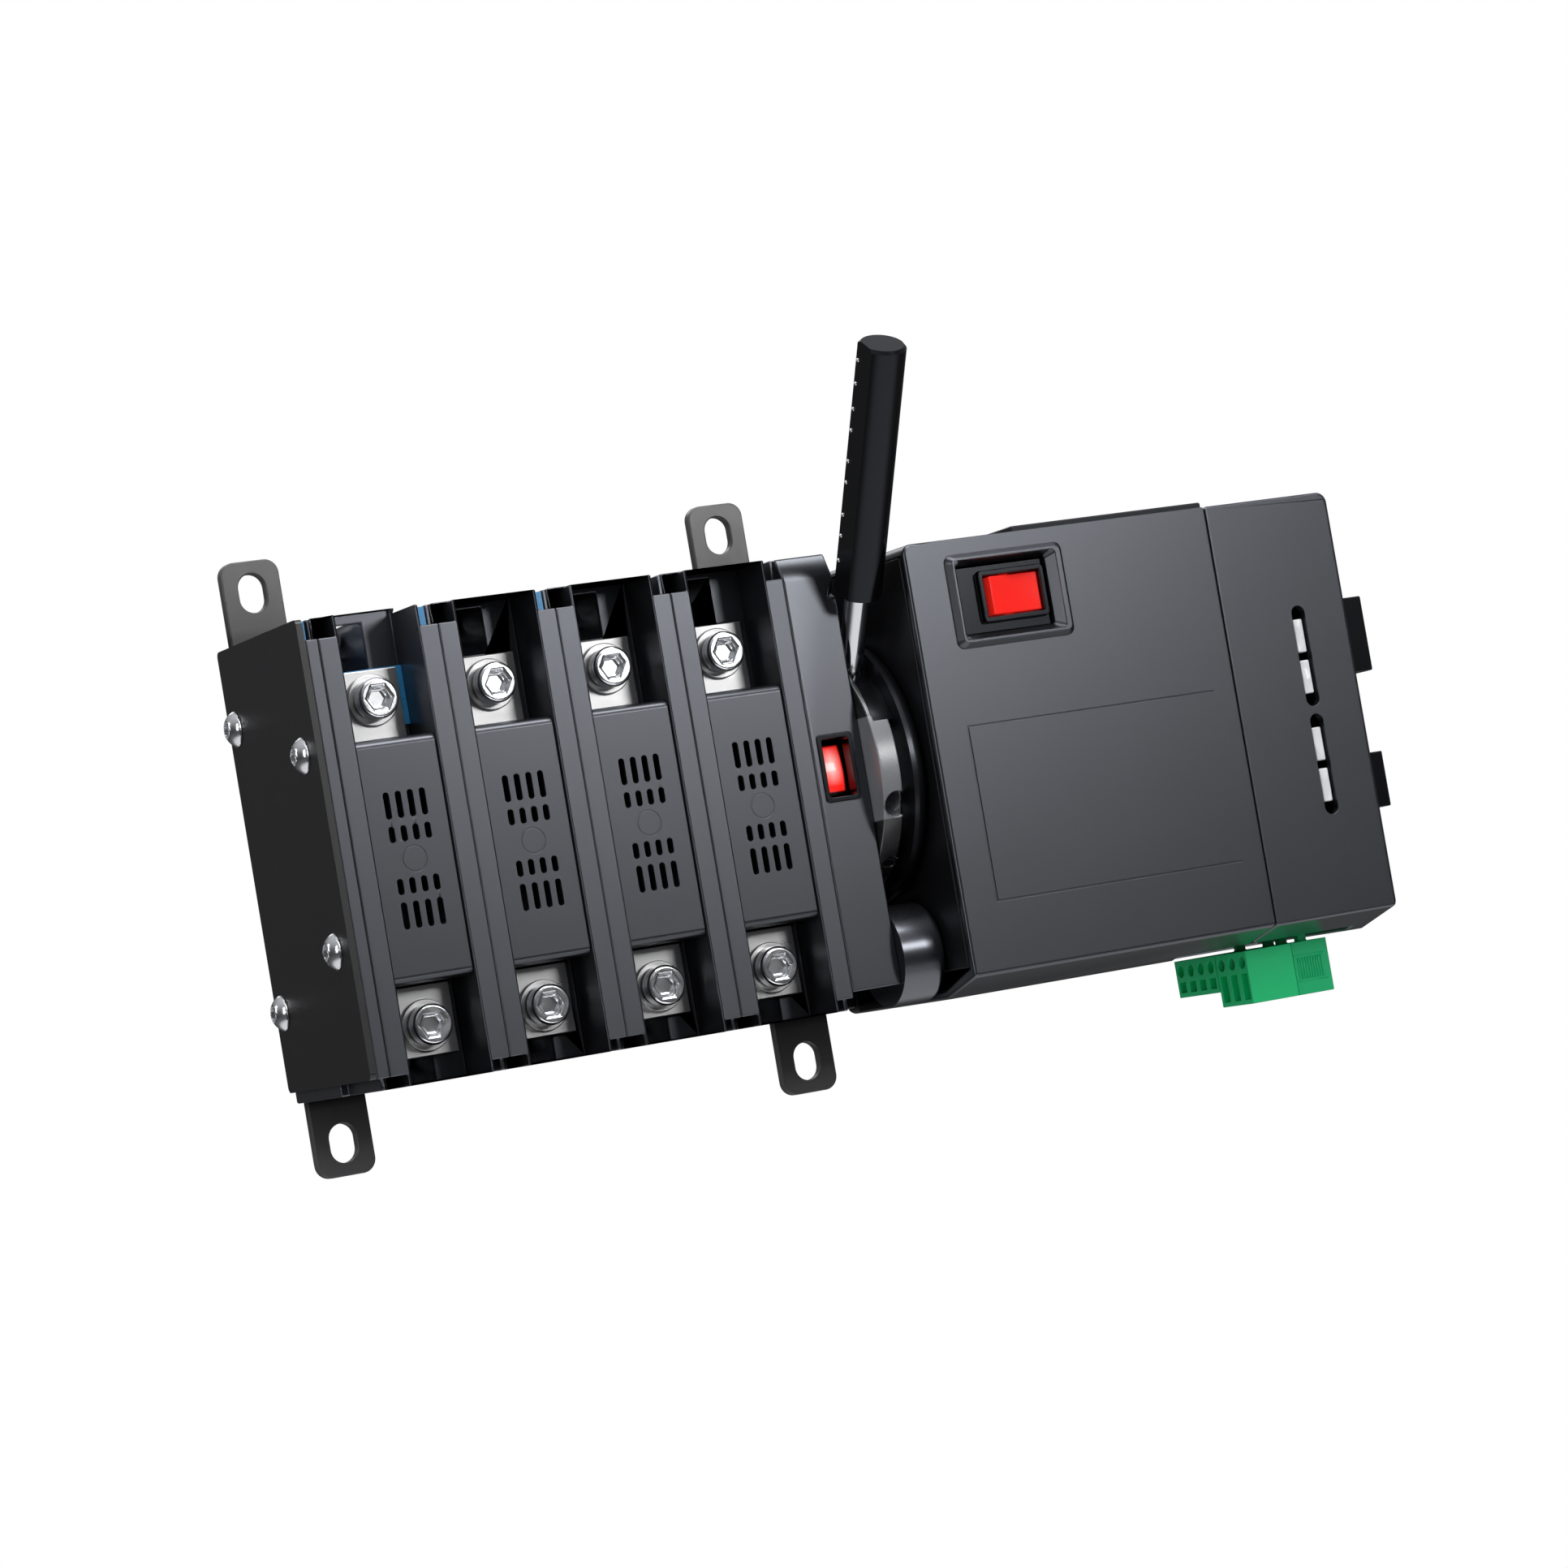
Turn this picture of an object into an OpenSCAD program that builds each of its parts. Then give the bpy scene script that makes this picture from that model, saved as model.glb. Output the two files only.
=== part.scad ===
// Four-pole automatic transfer switch, panel mounted.
// X runs along the row of poles, Z is up, and the front of the switch faces -Y.
// The mounting plane is Y = 0, and the origin is the centre of the four mounting slots.

/* [Poles] */
// Distance between neighbouring poles
pole_pitch = 30; // [29:1:31]
// Thickness of one moulded side wall of a pole
wall_t = 5; // [4:0.5:5.5]
// Height of the moulded body
body_h = 110.3; // [110:0.1:111]
// Height of the middle of the body relative to the mounting slots
body_z = -1.35; // [-1.55:0.1:-1.05]
// Distance from the mounting plane to the barrier fronts
body_front = 67; // [66:1:69]
// Height of the vented pole covers
cover_h = 57.4; // [56:0.2:58]
// Height of the pole centreline relative to the mounting slots
pole_z = -4.7; // [-5:0.1:-4.4]

/* [Terminals] */
// Height from the pole centreline to a front terminal screw
term_rise = 38.5; // [38:0.1:38.7]
// Width of the terminal bars
bar_w = 15; // [13:1:16]
// Thread radius of the terminal screws
term_thread_r = 3; // [2.5:0.5:3]
// Radius of the terminal washers
washer_r = 6.2; // [5.6:0.1:6.5]

/* [Mounting] */
// Distance between the slots across the switch
slot_dx = 126; // [124:1:128]
// Distance between the upper and the lower slots
slot_dz = 135.5; // [135:0.5:140]
// Width of a mounting slot
slot_w = 7; // [5:0.5:8]
// Overall length of a mounting slot
slot_l = 9.6; // [9:0.2:11]
// Width of the mounting straps
strap_w = 15; // [14:1:17]
// Thickness of the mounting straps
strap_t = 3; // [2:0.5:3]

/* [Handle] */
// Angle of the handle above the horizontal
handle_deg = 57.5; // [56:0.5:60]
// Radius of the chrome rod
rod_r = 3.1; // [2.9:0.1:3.1]
// Radius of the grip
grip_r = 5.9; // [5.6:0.1:6]
// Distance from the shaft to the near end of the grip
grip_start = 50; // [50:1:54]
// Distance from the shaft to the far end of the grip
grip_end = 115; // [100:1:120]
// Radius of the handle hub
hub_r = 30.5; // [29.5:0.5:31]

/* [Control box] */
// Length of the control box
box_len = 120.5; // [120:0.5:124]
// Distance from the mounting plane to the front of the control box
box_front = 82; // [81:1:84]
// Height of the control box front
box_h = 105.5; // [104:0.5:106]

/* [Hidden] */

$fn = 48;
eps = 0.01;
pole_n = 4;
pole_x0 = -72;
poles_end = pole_x0 + pole_n * pole_pitch;
top = body_z + body_h / 2;
low = body_z - body_h / 2;
function end_z(s) = s > 0 ? top : low;
function beyond(s, d) = end_z(s) + s * d;
base_back = -9;
base_front = -15;
front = -body_front;
wall_in = pole_pitch - 2 * wall_t;

// Transfer shaft
shaft_y = -44;
shaft_z = 0.5;
shaft_r = 5;
run_gap = 0.06;
carrier_r = 9;
blade_r = 17;
blade_t = 3;
blade_w = 8;
pad_r = 11;
pad_t = 2.5;
contact_gap = 0.15;
contact_deg = 45;

// Pole housing levels, measured from the pole centreline
cover_front = front + 1;
hood_back = -42;
chamber_half = 21;
chamber_back = -22;
shelf_front = -52;
term_t = 3;
term_bottom = cover_h / 2 + 0.3;
term_top = 45.8;
rear_plate_y = -34;
load_run_y = -21;
load_bend = 46.3;
rear_screw_z = 50.6;
rear_thread_r = 2;
rear_shift = -1.6;
pocket_edge = 2.2;
washer_t = 1.2;
// Bridge across the top of each pole, ahead of the rear terminal
bridge_d = 2.5;
bridge_drop = 1.2;
bridge_rise = 1.3;
// Slots in the two ends of every barrier wall
arm = 0.7;
slot_deep = 11;
slot_back = front + 26;
leg_y = shaft_y + 6;
leg_end = 11.6;
lip_drop = [2.8, 5];
lip_d = 4;
function lip_z(s) = s > 0 ? top - lip_drop[1] : low + lip_drop[0];
liner_t = 1.5;
// The upper shelf ends nearer the centreline than the lower one
function shelf_end(s) = s > 0 ? 41.5 : -47;

// Mechanism housing and the gap beside it
mech_x0 = poles_end;
mech_x1 = mech_x0 + 13.3;
mech_wall = 2;
mech_z0 = low + 4.2;
mech_cover_back = front + 4;
window_x = mech_x0 + 6.3;
window_z = 1.75;
window_w = 9.6;
window_h = 16.6;
frame_w = 1.2;

// Hub, disc and handle
hub_x0 = mech_x1 + 0.3;
rim_x1 = hub_x0 + 5.3;
core_r = 26;
rod_x = hub_x0 + 3.7;
disc_x0 = hub_x0 + 7.3;
disc_x1 = disc_x0 + 4.2;
disc_r = hub_r + 2.5;
disc_round = 3;
socket_floor = 12;
second_socket = -76.5;
pocket_r = 24;
pocket_deg = [21, 76];
set_screw_deg = -50;
grip_flat = 4.6;

// Control box
box_x0 = mech_x1 + 12.2;
box_x1 = box_x0 + box_len;
seam_x = box_x0 + 85;
box_z0 = -53.75;
box_z1 = box_z0 + box_h;
skin = 2.5;
// Engraved lines
line_w = 0.4;
line_d = 0.3;
skirt_z = box_z0 - 4.3;
skirt_y = -65;
side_t = 2.5;

// Gear pair
gear_m = 1.25;
gear_n = 44;
pinion_n = 20;
gear_x0 = box_x0 + 4;
gear_x1 = gear_x0 + 5;
pinion_y = -57;
gear_dist = gear_m * (gear_n + pinion_n) / 2;
pinion_z = shaft_z - sqrt(gear_dist * gear_dist - pow(pinion_y - shaft_y, 2));
mesh_deg = atan2(pinion_z - shaft_z, pinion_y - shaft_y);
motor_y = -58.5;
motor_z = -45.25;
motor_r = 12.2;
backlash = 0.3;

// Selector switch
sel_x0 = box_x0 + 10.5;
sel_x1 = sel_x0 + 32.4;
sel_z0 = 24.75;
sel_z1 = 47.85;
rocker_x = box_x0 + 28.3;
rocker_z = 36.75;
rocker_w = 14.8;
rocker_h = 9.4;
rocker_tip = 8;
rim_h = 1.8;
raise = 1.6;

// Light windows in the module
light_x = box_x0 + 106.6;
light_w = 3.8;
light_l = 25.4;
light_z = [11.45, -15.95];

// Plug-in terminal blocks under the module
plug_x0 = box_x0 + 86.5;
plug_x1 = plug_x0 + 13.5;
head_x1 = plug_x0 + 24;
plug_z0 = -72.1;
rear_plug_z0 = -68.2;
plug_z1 = -58.7;
way = 5.08;
under_x0 = box_x0 + 64.5;
under_x1 = head_x1 + 4;
under_y0 = skirt_y - 3;
under_y1 = base_front - 6;

// ---------------------------------------------------------------- helpers
// A block between two corners; the two heights may come in either order
module box(x0, x1, y0, y1, za, zb) translate([x0, y0, min(za, zb)]) cube([x1 - x0, y1 - y0, abs(zb - za)]);

// The same in Y and Z, as a flat outline
module band(y0, y1, za, zb) translate([y0, min(za, zb)]) square([y1 - y0, abs(zb - za)]);

// A flat outline in X and Z, extruded from y0 to y1
module on_y(y0, y1) translate([0, y1, 0]) rotate([90, 0, 0]) linear_extrude(y1 - y0) children();

// A flat outline in Y and Z, extruded from x0 to x1
module on_x(x0, x1) translate([x0, 0, 0]) rotate([90, 0, 90]) linear_extrude(x1 - x0) children();

module cyl_x(x0, x1, y, z, r) translate([x0, y, z]) rotate([0, 90, 0]) cylinder(h = x1 - x0, r = r);

module cyl_y(x, y0, y1, z, r) translate([x, y1, z]) rotate([90, 0, 0]) cylinder(h = y1 - y0, r = r);

module rounded(x0, x1, z0, z1, r) {
  translate([x0 + r, z0]) square([x1 - x0 - 2 * r, z1 - z0]);
  translate([x0, z0 + r]) square([x1 - x0, z1 - z0 - 2 * r]);
  for (x = [x0 + r, x1 - r])
    for (z = [z0 + r, z1 - r])
      translate([x, z]) circle(r);
}

// Half section of a turned body whose outer edge is rounded on the far side
module turned_section(r, h, c) {
  square([r - c, h]);
  square([r, h - c]);
  intersection() {
    translate([r - c, h - c]) circle(c);
    square([r, h]);
  }
}

// Places a child so that its Z axis points out from the shaft, deg above the front
module radial(deg) translate([rod_x, shaft_y, shaft_z]) rotate([-deg, 0, 0]) rotate([90, 0, 0]) children();

// A ring segment about the shaft, from d0 to d1 above the front
module arc_block(x0, x1, r0, r1, d0, d1) translate([x0, shaft_y, shaft_z])
  rotate([-90 - d1, 0, 0]) rotate([0, 90, 0])
    rotate_extrude(angle = d1 - d0) translate([r0, 0]) square([r1 - r0, x1 - x0]);

// An upright slot with round ends
module obround(x, z, w, l) {
  translate([x - w / 2, z - (l - w) / 2]) square([w, l - w]);
  for (s = [-1, 1]) translate([x, z + s * (l - w) / 2]) circle(w / 2);
}

// A pan-head screw with a hexagon socket, its head facing -Y
module cap_screw(x, y, z, head_r, head_h, shank_r, shank_l, key_r) {
  difference() {
    union() {
      cyl_y(x, y - head_h, y, z, head_r);
      cyl_y(x, y - eps, y + shank_l, z, shank_r);
    }
    translate([x, y - head_h * 0.45, z]) rotate([90, 0, 0]) cylinder(h = head_h, r = key_r, $fn = 6);
  }
}

// A domed screw with a hexagon socket, its head facing -X
module button_screw(x, y, z, head_r, shank_r, shank_l) {
  dome_r = head_r * 1.12;
  difference() {
    union() {
      intersection() {
        translate([x + dome_r * 0.42, y, z]) sphere(dome_r);
        cyl_x(x - head_r, x, y, z, head_r);
      }
      cyl_x(x - eps, x + shank_l, y, z, shank_r);
    }
    translate([x - head_r, y, z]) rotate([0, 90, 0]) cylinder(h = head_r * 0.72, r = head_r * 0.46, $fn = 6);
  }
}

function pole_x(i) = pole_x0 + i * pole_pitch;
function pole_mid(i) = pole_x(i) + pole_pitch / 2;
function rear_mid(i) = pole_mid(i) + rear_shift;

// Involute gear outline in Y and Z with a tooth centred on the +Y direction
function inv(a) = tan(a) - a * PI / 180;
function flank(r, rb) = r <= rb ? 0 : acos(rb / r);
function half_tooth(r, n) =
  let (rp = gear_m * n / 2, rb = rp * cos(20))
  (PI / (2 * n) - backlash / (2 * rp) / 2 + inv(20) - inv(flank(r, rb))) * 180 / PI;
function gear_radii(n) =
  let (rf = gear_m * (n / 2 - 1.25), ra = gear_m * (n / 2 + 0.9), rs = max(rf + 0.2, gear_m * n / 2 * cos(20)))
  [for (k = [0:4]) rs + (ra - rs) * k / 4];

module gear_outline(n) {
  radii = gear_radii(n);
  rf = gear_m * (n / 2 - 1.25);
  steps = len(radii);
  polygon([for (t = [0:n - 1])
    for (k = [-1:2 * steps])
      let (
        j = k < 0 || k == 2 * steps ? 0 : (k < steps ? k : 2 * steps - 1 - k),
        r = k < 0 || k == 2 * steps ? rf : radii[j],
        s = k < steps ? -1 : 1,
        a = t * 360 / n + s * half_tooth(radii[j], n)
      )
      [r * cos(a), r * sin(a)]]);
}

// ---------------------------------------------------------------- frame and mounting
module base_plate() color("#232327") difference() {
  box(pole_x0, box_x0 - 0.3, base_front, base_back, low, top);
  for (p = end_screw_at) cyl_x(pole_x0 - 1, pole_x0 + 4.2, p[0], p[1], 2.55);
  for (x = [-slot_dx / 2, slot_dx / 2])
    for (z = [-strap_hole_z, strap_hole_z])
      cyl_y(x, base_front - 1, base_back + 1, z, 2.1);
  // window that the hub and the disc turn in
  box(mech_x1 + 0.1, box_x0, base_front - 1, base_back + 1, shaft_z - 20, shaft_z + 20);
}

strap_hole_z = 40;
// The straps step back this far inside the ends of the body
joggle = 2;

module strap(x) color("#3c3d41") {
  difference() {
    union() {
      // the flat run behind the body
      box(x - strap_w / 2, x + strap_w / 2, base_back, base_back + strap_t,
        beyond(-1, -joggle), beyond(1, -joggle));
      for (s = [-1, 1]) {
        // the joggle back to the mounting plane
        box(x - strap_w / 2, x + strap_w / 2, base_back, 0, beyond(s, -joggle - strap_t), beyond(s, -joggle));
        on_y(-strap_t, 0) ear(x, s);
      }
    }
    for (s = [-1, 1]) {
      on_y(-strap_t - 1, 1) obround(x, s * slot_dz / 2, slot_w, slot_l);
      cyl_y(x, base_back - 1, base_back + strap_t + 1, s * strap_hole_z, 2.2);
    }
  }
}

module ear(x, s) {
  far = slot_dz / 2 + 8;
  near = abs(beyond(s, -joggle - strap_t));
  if (s > 0) rounded_end(x, near, far);
  else mirror([0, 1]) rounded_end(x, near, far);
}

module rounded_end(x, near, far) {
  r = 3.5;
  translate([x - strap_w / 2, near]) square([strap_w, far - near - r]);
  translate([x - strap_w / 2 + r, near]) square([strap_w - 2 * r, far - near]);
  for (s = [-1, 1]) translate([x + s * (strap_w / 2 - r), far - r]) circle(r);
}

module left_mounting_strap() strap(-slot_dx / 2);

module right_mounting_strap() strap(slot_dx / 2);

module strap_screws() color("#b9babd")
  for (x = [-slot_dx / 2, slot_dx / 2])
    for (s = [-1, 1]) {
      cyl_y(x, base_front + 0.5, base_back + strap_t + eps, s * strap_hole_z, 2);
      cyl_y(x, base_back + strap_t, base_back + strap_t + 2.4, s * strap_hole_z, 3.8);
    }

end_screw_at = [[-14, 34.5], [-57.5, 23], [-57.5, -23], [-14, -34.5]];
end_plate_t = 1.6;
barrier_t = 3.2;
plate_x1 = pole_x0 - barrier_t;

module left_end_plate() color("#26272a") difference() {
  on_x(plate_x1 - end_plate_t, plate_x1) plate_outline();
  for (p = end_screw_at)
    cyl_x(plate_x1 - end_plate_t - 1, plate_x1 + 1, p[0], p[1], 2.6);
}

// Half-width wall that closes the row of poles behind the end plate
module end_barrier() color("#3a3b3f") difference() {
  box(plate_x1, pole_x0, front, base_back, low, top);
  for (s = [-1, 1]) {
    box(plate_x1 - 1, pole_x0 + 1, front - 1, front + lip_d, lip_z(s), beyond(s, 1));
    box(plate_x1 - 1, pole_x0 - 1.2, front + lip_d - eps, slot_back, beyond(s, -slot_deep), beyond(s, 1));
  }
  for (p = end_screw_at) cyl_x(plate_x1 - 1, pole_x0 + 1, p[0], p[1], 2.6);
}

module plate_outline() {
  r = 1.5;
  z0 = lip_z(-1);
  translate([front, z0 + r]) square([body_front + base_back, top - z0 - 2 * r]);
  translate([front + r, z0]) square([body_front + base_back - 2 * r, top - z0]);
  for (y = [front + r, base_back - r])
    for (z = [z0 + r, top - r])
      translate([y, z]) circle(r);
}

module end_plate_screws() color("#d9dadd")
  for (p = end_screw_at)
    button_screw(plate_x1 - end_plate_t, p[0], p[1], 4.4, 2.5, end_plate_t + barrier_t + 4);

// ---------------------------------------------------------------- poles
// Outline of one line terminal bar in Y and Z: front plate, run inward, and leg to the contact
module line_bar_outline(s, grow) {
  z0 = pole_z + s * term_bottom;
  z1 = z0 + s * term_t;
  band(shelf_front - term_t - grow, shelf_front + grow, z0 - s * grow, pole_z + s * (term_top + grow));
  band(shelf_front - grow, leg_y + term_t + grow, z0 - s * grow, z1 + s * grow);
  band(leg_y - grow, leg_y + term_t + grow, shaft_z + s * leg_end, z1 + s * grow);
}

// Outline of the rear load bar in Y and Z
module load_bar_outline(grow) {
  for (s = [-1, 1]) {
    band(rear_plate_y - grow, rear_plate_y + term_t + grow, s * (load_bend - grow), beyond(s, grow));
    band(rear_plate_y + term_t - grow, load_run_y + term_t + grow,
      s * (load_bend - grow), s * (load_bend + term_t + grow));
    band(load_run_y - grow, load_run_y + term_t + grow, -eps * s, s * (load_bend + term_t));
  }
}

// The open front bay beyond the cover, and the pocket for the rear terminal
module bay_cuts(x0, x1, deep, s) {
  pocket_x1 = (x0 + x1) / 2 + pocket_edge;
  roof = s > 0 ? top - bridge_drop : low - 1;
  box(x0, x1, front - 1, shelf_front + deep, pole_z + s * (cover_h / 2 - eps), beyond(s, 3));
  box(x0, pocket_x1, shelf_front - 1, rear_plate_y + term_t, shelf_end(s), roof);
  box(x0, pocket_x1, shelf_front + bridge_d, rear_plate_y + term_t, shelf_end(s), beyond(s, 3));
}

module pole_housing(i) color("#3a3b3f") {
  x0 = pole_x(i);
  x1 = x0 + pole_pitch;
  a = x0 + wall_t;
  b = x1 - wall_t;
  deep = i == 0 ? liner_t : 0;
  mid = pole_mid(i);
  difference() {
    union() {
      box(x0, x1, front, base_front, low, top);
      box(a - eps, b + eps, shelf_front, shelf_front + bridge_d, top - bridge_drop, top + bridge_rise);
    }
    // contact chamber behind the cover
    box(a, b, front - 1, hood_back, pole_z - cover_h / 2, pole_z + cover_h / 2);
    box(a, b, hood_back - 1, chamber_back, shaft_z - chamber_half, shaft_z + chamber_half);
    for (s = [-1, 1]) bay_cuts(a, b, deep, s);
    // passages for the conductor bars
    on_x(mid - bar_w / 2 - 0.1, mid + bar_w / 2 + 0.1) {
      for (s = [-1, 1]) line_bar_outline(s, 0.1);
      load_bar_outline(0.1);
    }
    box(mid + 4.5, mid + bar_w / 2 + 0.1, chamber_back - 1, load_run_y + 0.1, shaft_z - 3.1, shaft_z + 3.1);
    // lowered front lips, and behind them the slots for the phase barriers
    for (x = [x0, x1])
      for (s = [-1, 1]) {
        box(x - wall_t + arm, x + wall_t - arm, front - 1, front + lip_d, lip_z(s), beyond(s, 1));
        box(x - wall_t + arm, x - 1.2, front + lip_d - eps, slot_back, beyond(s, -slot_deep), beyond(s, 1));
        box(x + 0.4, x + wall_t - arm, front + lip_d - eps, slot_back, beyond(s, -slot_deep), beyond(s, 1));
      }
    cyl_x(x0 - 1, x1 + 1, shaft_y, shaft_z, shaft_r + run_gap);
    // threaded seats of the terminal screws
    for (s = [-1, 1]) {
      cyl_y(mid, shelf_front - 1, shelf_front + 12, pole_z + s * term_rise, term_thread_r + 0.05);
      cyl_y(rear_mid(i), rear_plate_y, rear_plate_y + 11, s * rear_screw_z, rear_thread_r + 0.05);
    }
    if (i == 0)
      for (p = end_screw_at) cyl_x(x0 - 1, x0 + 4.2, p[0], p[1], 2.55);
  }
}

module pole_housing_1() pole_housing(0);

module pole_housing_2() pole_housing(1);

module pole_housing_3() pole_housing(2);

module pole_housing_4() pole_housing(3);

module pole_covers() color("#45464b")
  for (i = [0:pole_n - 1]) pole_cover(pole_mid(i));

module pole_cover(x) {
  half = wall_in / 2 - 0.2;
  half_h = cover_h / 2 - 0.1;
  t = 2;
  difference() {
    on_x(x - half, x + half) hood_outline(half_h, cover_front);
    on_x(x - half + t, x + half - t) hood_inside(half_h - t, cover_front + t);
    // the sides stop short of the contact carrier
    on_x(x - half - 1, x + half + 1) hood_inside(half_h - t, shaft_y - carrier_r - 1.2);
    for (row = [-1, 1])
      for (k = [-1.5:1:1.5]) {
        on_y(cover_front - 1, cover_front + t + 1) obround(x + 3 * k, pole_z + row * 12.9, 1.5, 6.4);
        on_y(cover_front - 1, cover_front + t + 1) obround(x + 3 * k, pole_z + row * 6.1, 1.5, 3.8);
      }
    difference() {
      cyl_y(x, cover_front - 1, cover_front + 0.12, pole_z, 3.2);
      cyl_y(x, cover_front - 2, cover_front + 1, pole_z, 2.8);
    }
  }
}

// Side outline of a cover, with its front edges rounded
module hood_outline(half_h, y) {
  r = 2;
  translate([y + r, pole_z - half_h]) square([hood_back - y - r, 2 * half_h]);
  translate([y, pole_z - half_h + r]) square([r + 1, 2 * (half_h - r)]);
  for (s = [-1, 1]) translate([y + r, pole_z + s * (half_h - r)]) circle(r);
}

module hood_inside(half_h, y) translate([y, pole_z - half_h]) square([hood_back - y + 1, 2 * half_h]);

module neutral_insulators() color("#2f86b8")
  for (s = [-1, 1]) {
    // flat sheet behind the upper front terminal
    if (s > 0) difference() {
      box(pole_x0 + wall_t, pole_x0 + wall_t + wall_in, shelf_front, shelf_front + liner_t,
        pole_z + s * (term_bottom + term_t + 0.1), shelf_end(s));
      cyl_y(pole_mid(0), shelf_front - 1, shelf_front + liner_t + 1, pole_z + s * term_rise, term_thread_r + 0.1);
    }
    // side cheek beside the rear terminal
    box(pole_x0 + wall_t, pole_x0 + wall_t + 1.8, shelf_front + bridge_d, rear_plate_y - 0.1, shelf_end(s), end_z(s));
  }

module barrier_slot_strips() color("#3b93c4") {
  z = [top - slot_deep + 0.2, top - 0.3];
  y = [front + lip_d + 0.2, slot_back - 0.4];
  box(plate_x1 + 0.1, pole_x0 - 1.3, y[0], y[1], z[0], z[1]);
  for (i = [1:2]) box(pole_x(i) - wall_t + arm + 0.1, pole_x(i) - 1.3, y[0], y[1], z[0], z[1]);
}

module contact_pad(x, s) translate([x, shaft_y, shaft_z]) rotate([s * contact_deg, 0, 0])
  translate([-bar_w / 2, pad_r, s > 0 ? blade_t / 2 + contact_gap : -blade_t / 2 - contact_gap - pad_t])
    cube([bar_w, blade_r - pad_r, pad_t]);

module line_terminals(s) color("#c9cacc")
  for (i = [0:pole_n - 1]) difference() {
    union() {
      on_x(pole_mid(i) - bar_w / 2, pole_mid(i) + bar_w / 2) line_bar_outline(s, 0);
      contact_pad(pole_mid(i), s);
    }
    cyl_y(pole_mid(i), shelf_front - term_t - 1, shelf_front + 1, pole_z + s * term_rise, term_thread_r + 0.2);
  }

module upper_line_terminals() line_terminals(1);

module lower_line_terminals() line_terminals(-1);

module load_bars() color("#c4c5c8")
  for (i = [0:pole_n - 1]) difference() {
    union() {
      on_x(pole_mid(i) - bar_w / 2, pole_mid(i) + bar_w / 2) load_bar_outline(0);
      // tongue that feeds the moving contact
      box(pole_mid(i) + 4.6, pole_mid(i) + bar_w / 2, shaft_y + carrier_r + 0.4, load_run_y + 1, shaft_z - 3, shaft_z + 3);
    }
    for (s = [-1, 1])
      cyl_y(rear_mid(i), rear_plate_y - 1, rear_plate_y + 12, s * rear_screw_z, rear_thread_r + 0.15);
  }

module terminal_washers() color("#d5d6d9")
  for (i = [0:pole_n - 1])
    for (s = [-1, 1]) difference() {
      cyl_y(pole_mid(i), shelf_front - term_t - washer_t, shelf_front - term_t, pole_z + s * term_rise, washer_r);
      cyl_y(pole_mid(i), shelf_front - term_t - 2, shelf_front - term_t + 1, pole_z + s * term_rise, term_thread_r + 0.2);
    }

module front_terminal_screws() color("#e2e3e6")
  for (i = [0:pole_n - 1])
    for (s = [-1, 1])
      cap_screw(pole_mid(i), shelf_front - term_t - washer_t, pole_z + s * term_rise, 4.9, 4.6, term_thread_r, 13, 2.9);

module rear_terminal_screws() color("#dcdde0")
  for (i = [0:pole_n - 1])
    for (s = [-1, 1]) cap_screw(rear_mid(i), rear_plate_y, s * rear_screw_z, 3.4, 3.6, rear_thread_r, 9, 1.8);

chute_n = 4;
module arc_chute_plates() color("#8d8f94")
  for (i = [0:pole_n - 1])
    for (s = [-1, 1])
      for (k = [0:chute_n - 1])
        box(pole_x(i) + wall_t + 1, pole_mid(i) + 4.2, chamber_back - 4.4, chamber_back - 0.4,
          shaft_z + s * (5 + 3.6 * k) - 0.6, shaft_z + s * (5 + 3.6 * k) + 0.6);

// ---------------------------------------------------------------- transfer shaft
module main_shaft() color("#9a9ca1")
  cyl_x(pole_x0 + 0.5, gear_x1 + 5, shaft_y, shaft_z, shaft_r);

module contact_carriers() color("#1d1d20")
  for (i = [0:pole_n - 1]) difference() {
    cyl_x(pole_x(i) + wall_t + 0.4, pole_x(i) + pole_pitch - wall_t - 0.4, shaft_y, shaft_z, carrier_r);
    cyl_x(pole_x(i), pole_x(i) + pole_pitch, shaft_y, shaft_z, shaft_r);
    blade(i, 0.02);
  }

// The moving blade at rest, engaged with the lower contact
module blade(i, grow) translate([pole_mid(i) - 1, shaft_y, shaft_z]) rotate([-contact_deg, 0, 0])
  translate([-blade_w / 2 - grow, shaft_r + 0.5 - grow, -blade_t / 2 - grow])
    cube([blade_w + 2 * grow, blade_r - shaft_r - 0.5 + grow, blade_t + 2 * grow]);

module moving_contacts() color("#c98a55")
  for (i = [0:pole_n - 1]) blade(i, 0);

module lever_bore(deg) radial(deg) translate([0, 0, socket_floor]) cylinder(h = hub_r, r = rod_r + 0.05);

module handle_hub() color("#b9bbbe") difference() {
  union() {
    cyl_x(hub_x0, rim_x1, shaft_y, shaft_z, hub_r);
    cyl_x(rim_x1 - eps, disc_x0, shaft_y, shaft_z, core_r);
  }
  cyl_x(hub_x0 - 1, disc_x0 + 1, shaft_y, shaft_z, shaft_r);
  lever_bore(handle_deg);
  lever_bore(handle_deg + second_socket);
  // pocket for the clamp block that holds the lever
  arc_block(hub_x0 + 1.4, disc_x0 + 1, pocket_r, hub_r + 1, pocket_deg[0], pocket_deg[1]);
  radial(set_screw_deg) cylinder(h = hub_r + 1, r = 1.55);
}

module lever_clamp_block() color("#121214") difference() {
  arc_block(hub_x0 + 1.45, disc_x0 - 0.05, pocket_r + 0.05, hub_r - 1.2, pocket_deg[0] + 0.3, pocket_deg[1] - 0.3);
  lever_bore(handle_deg);
}

module hub_set_screw() color("#77797e") radial(set_screw_deg) difference() {
  translate([0, 0, shaft_r + 0.1]) cylinder(h = hub_r - shaft_r - 2, r = 1.5);
  translate([0, 0, hub_r - 4]) cylinder(h = 3, r = 0.9, $fn = 6);
}

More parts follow.
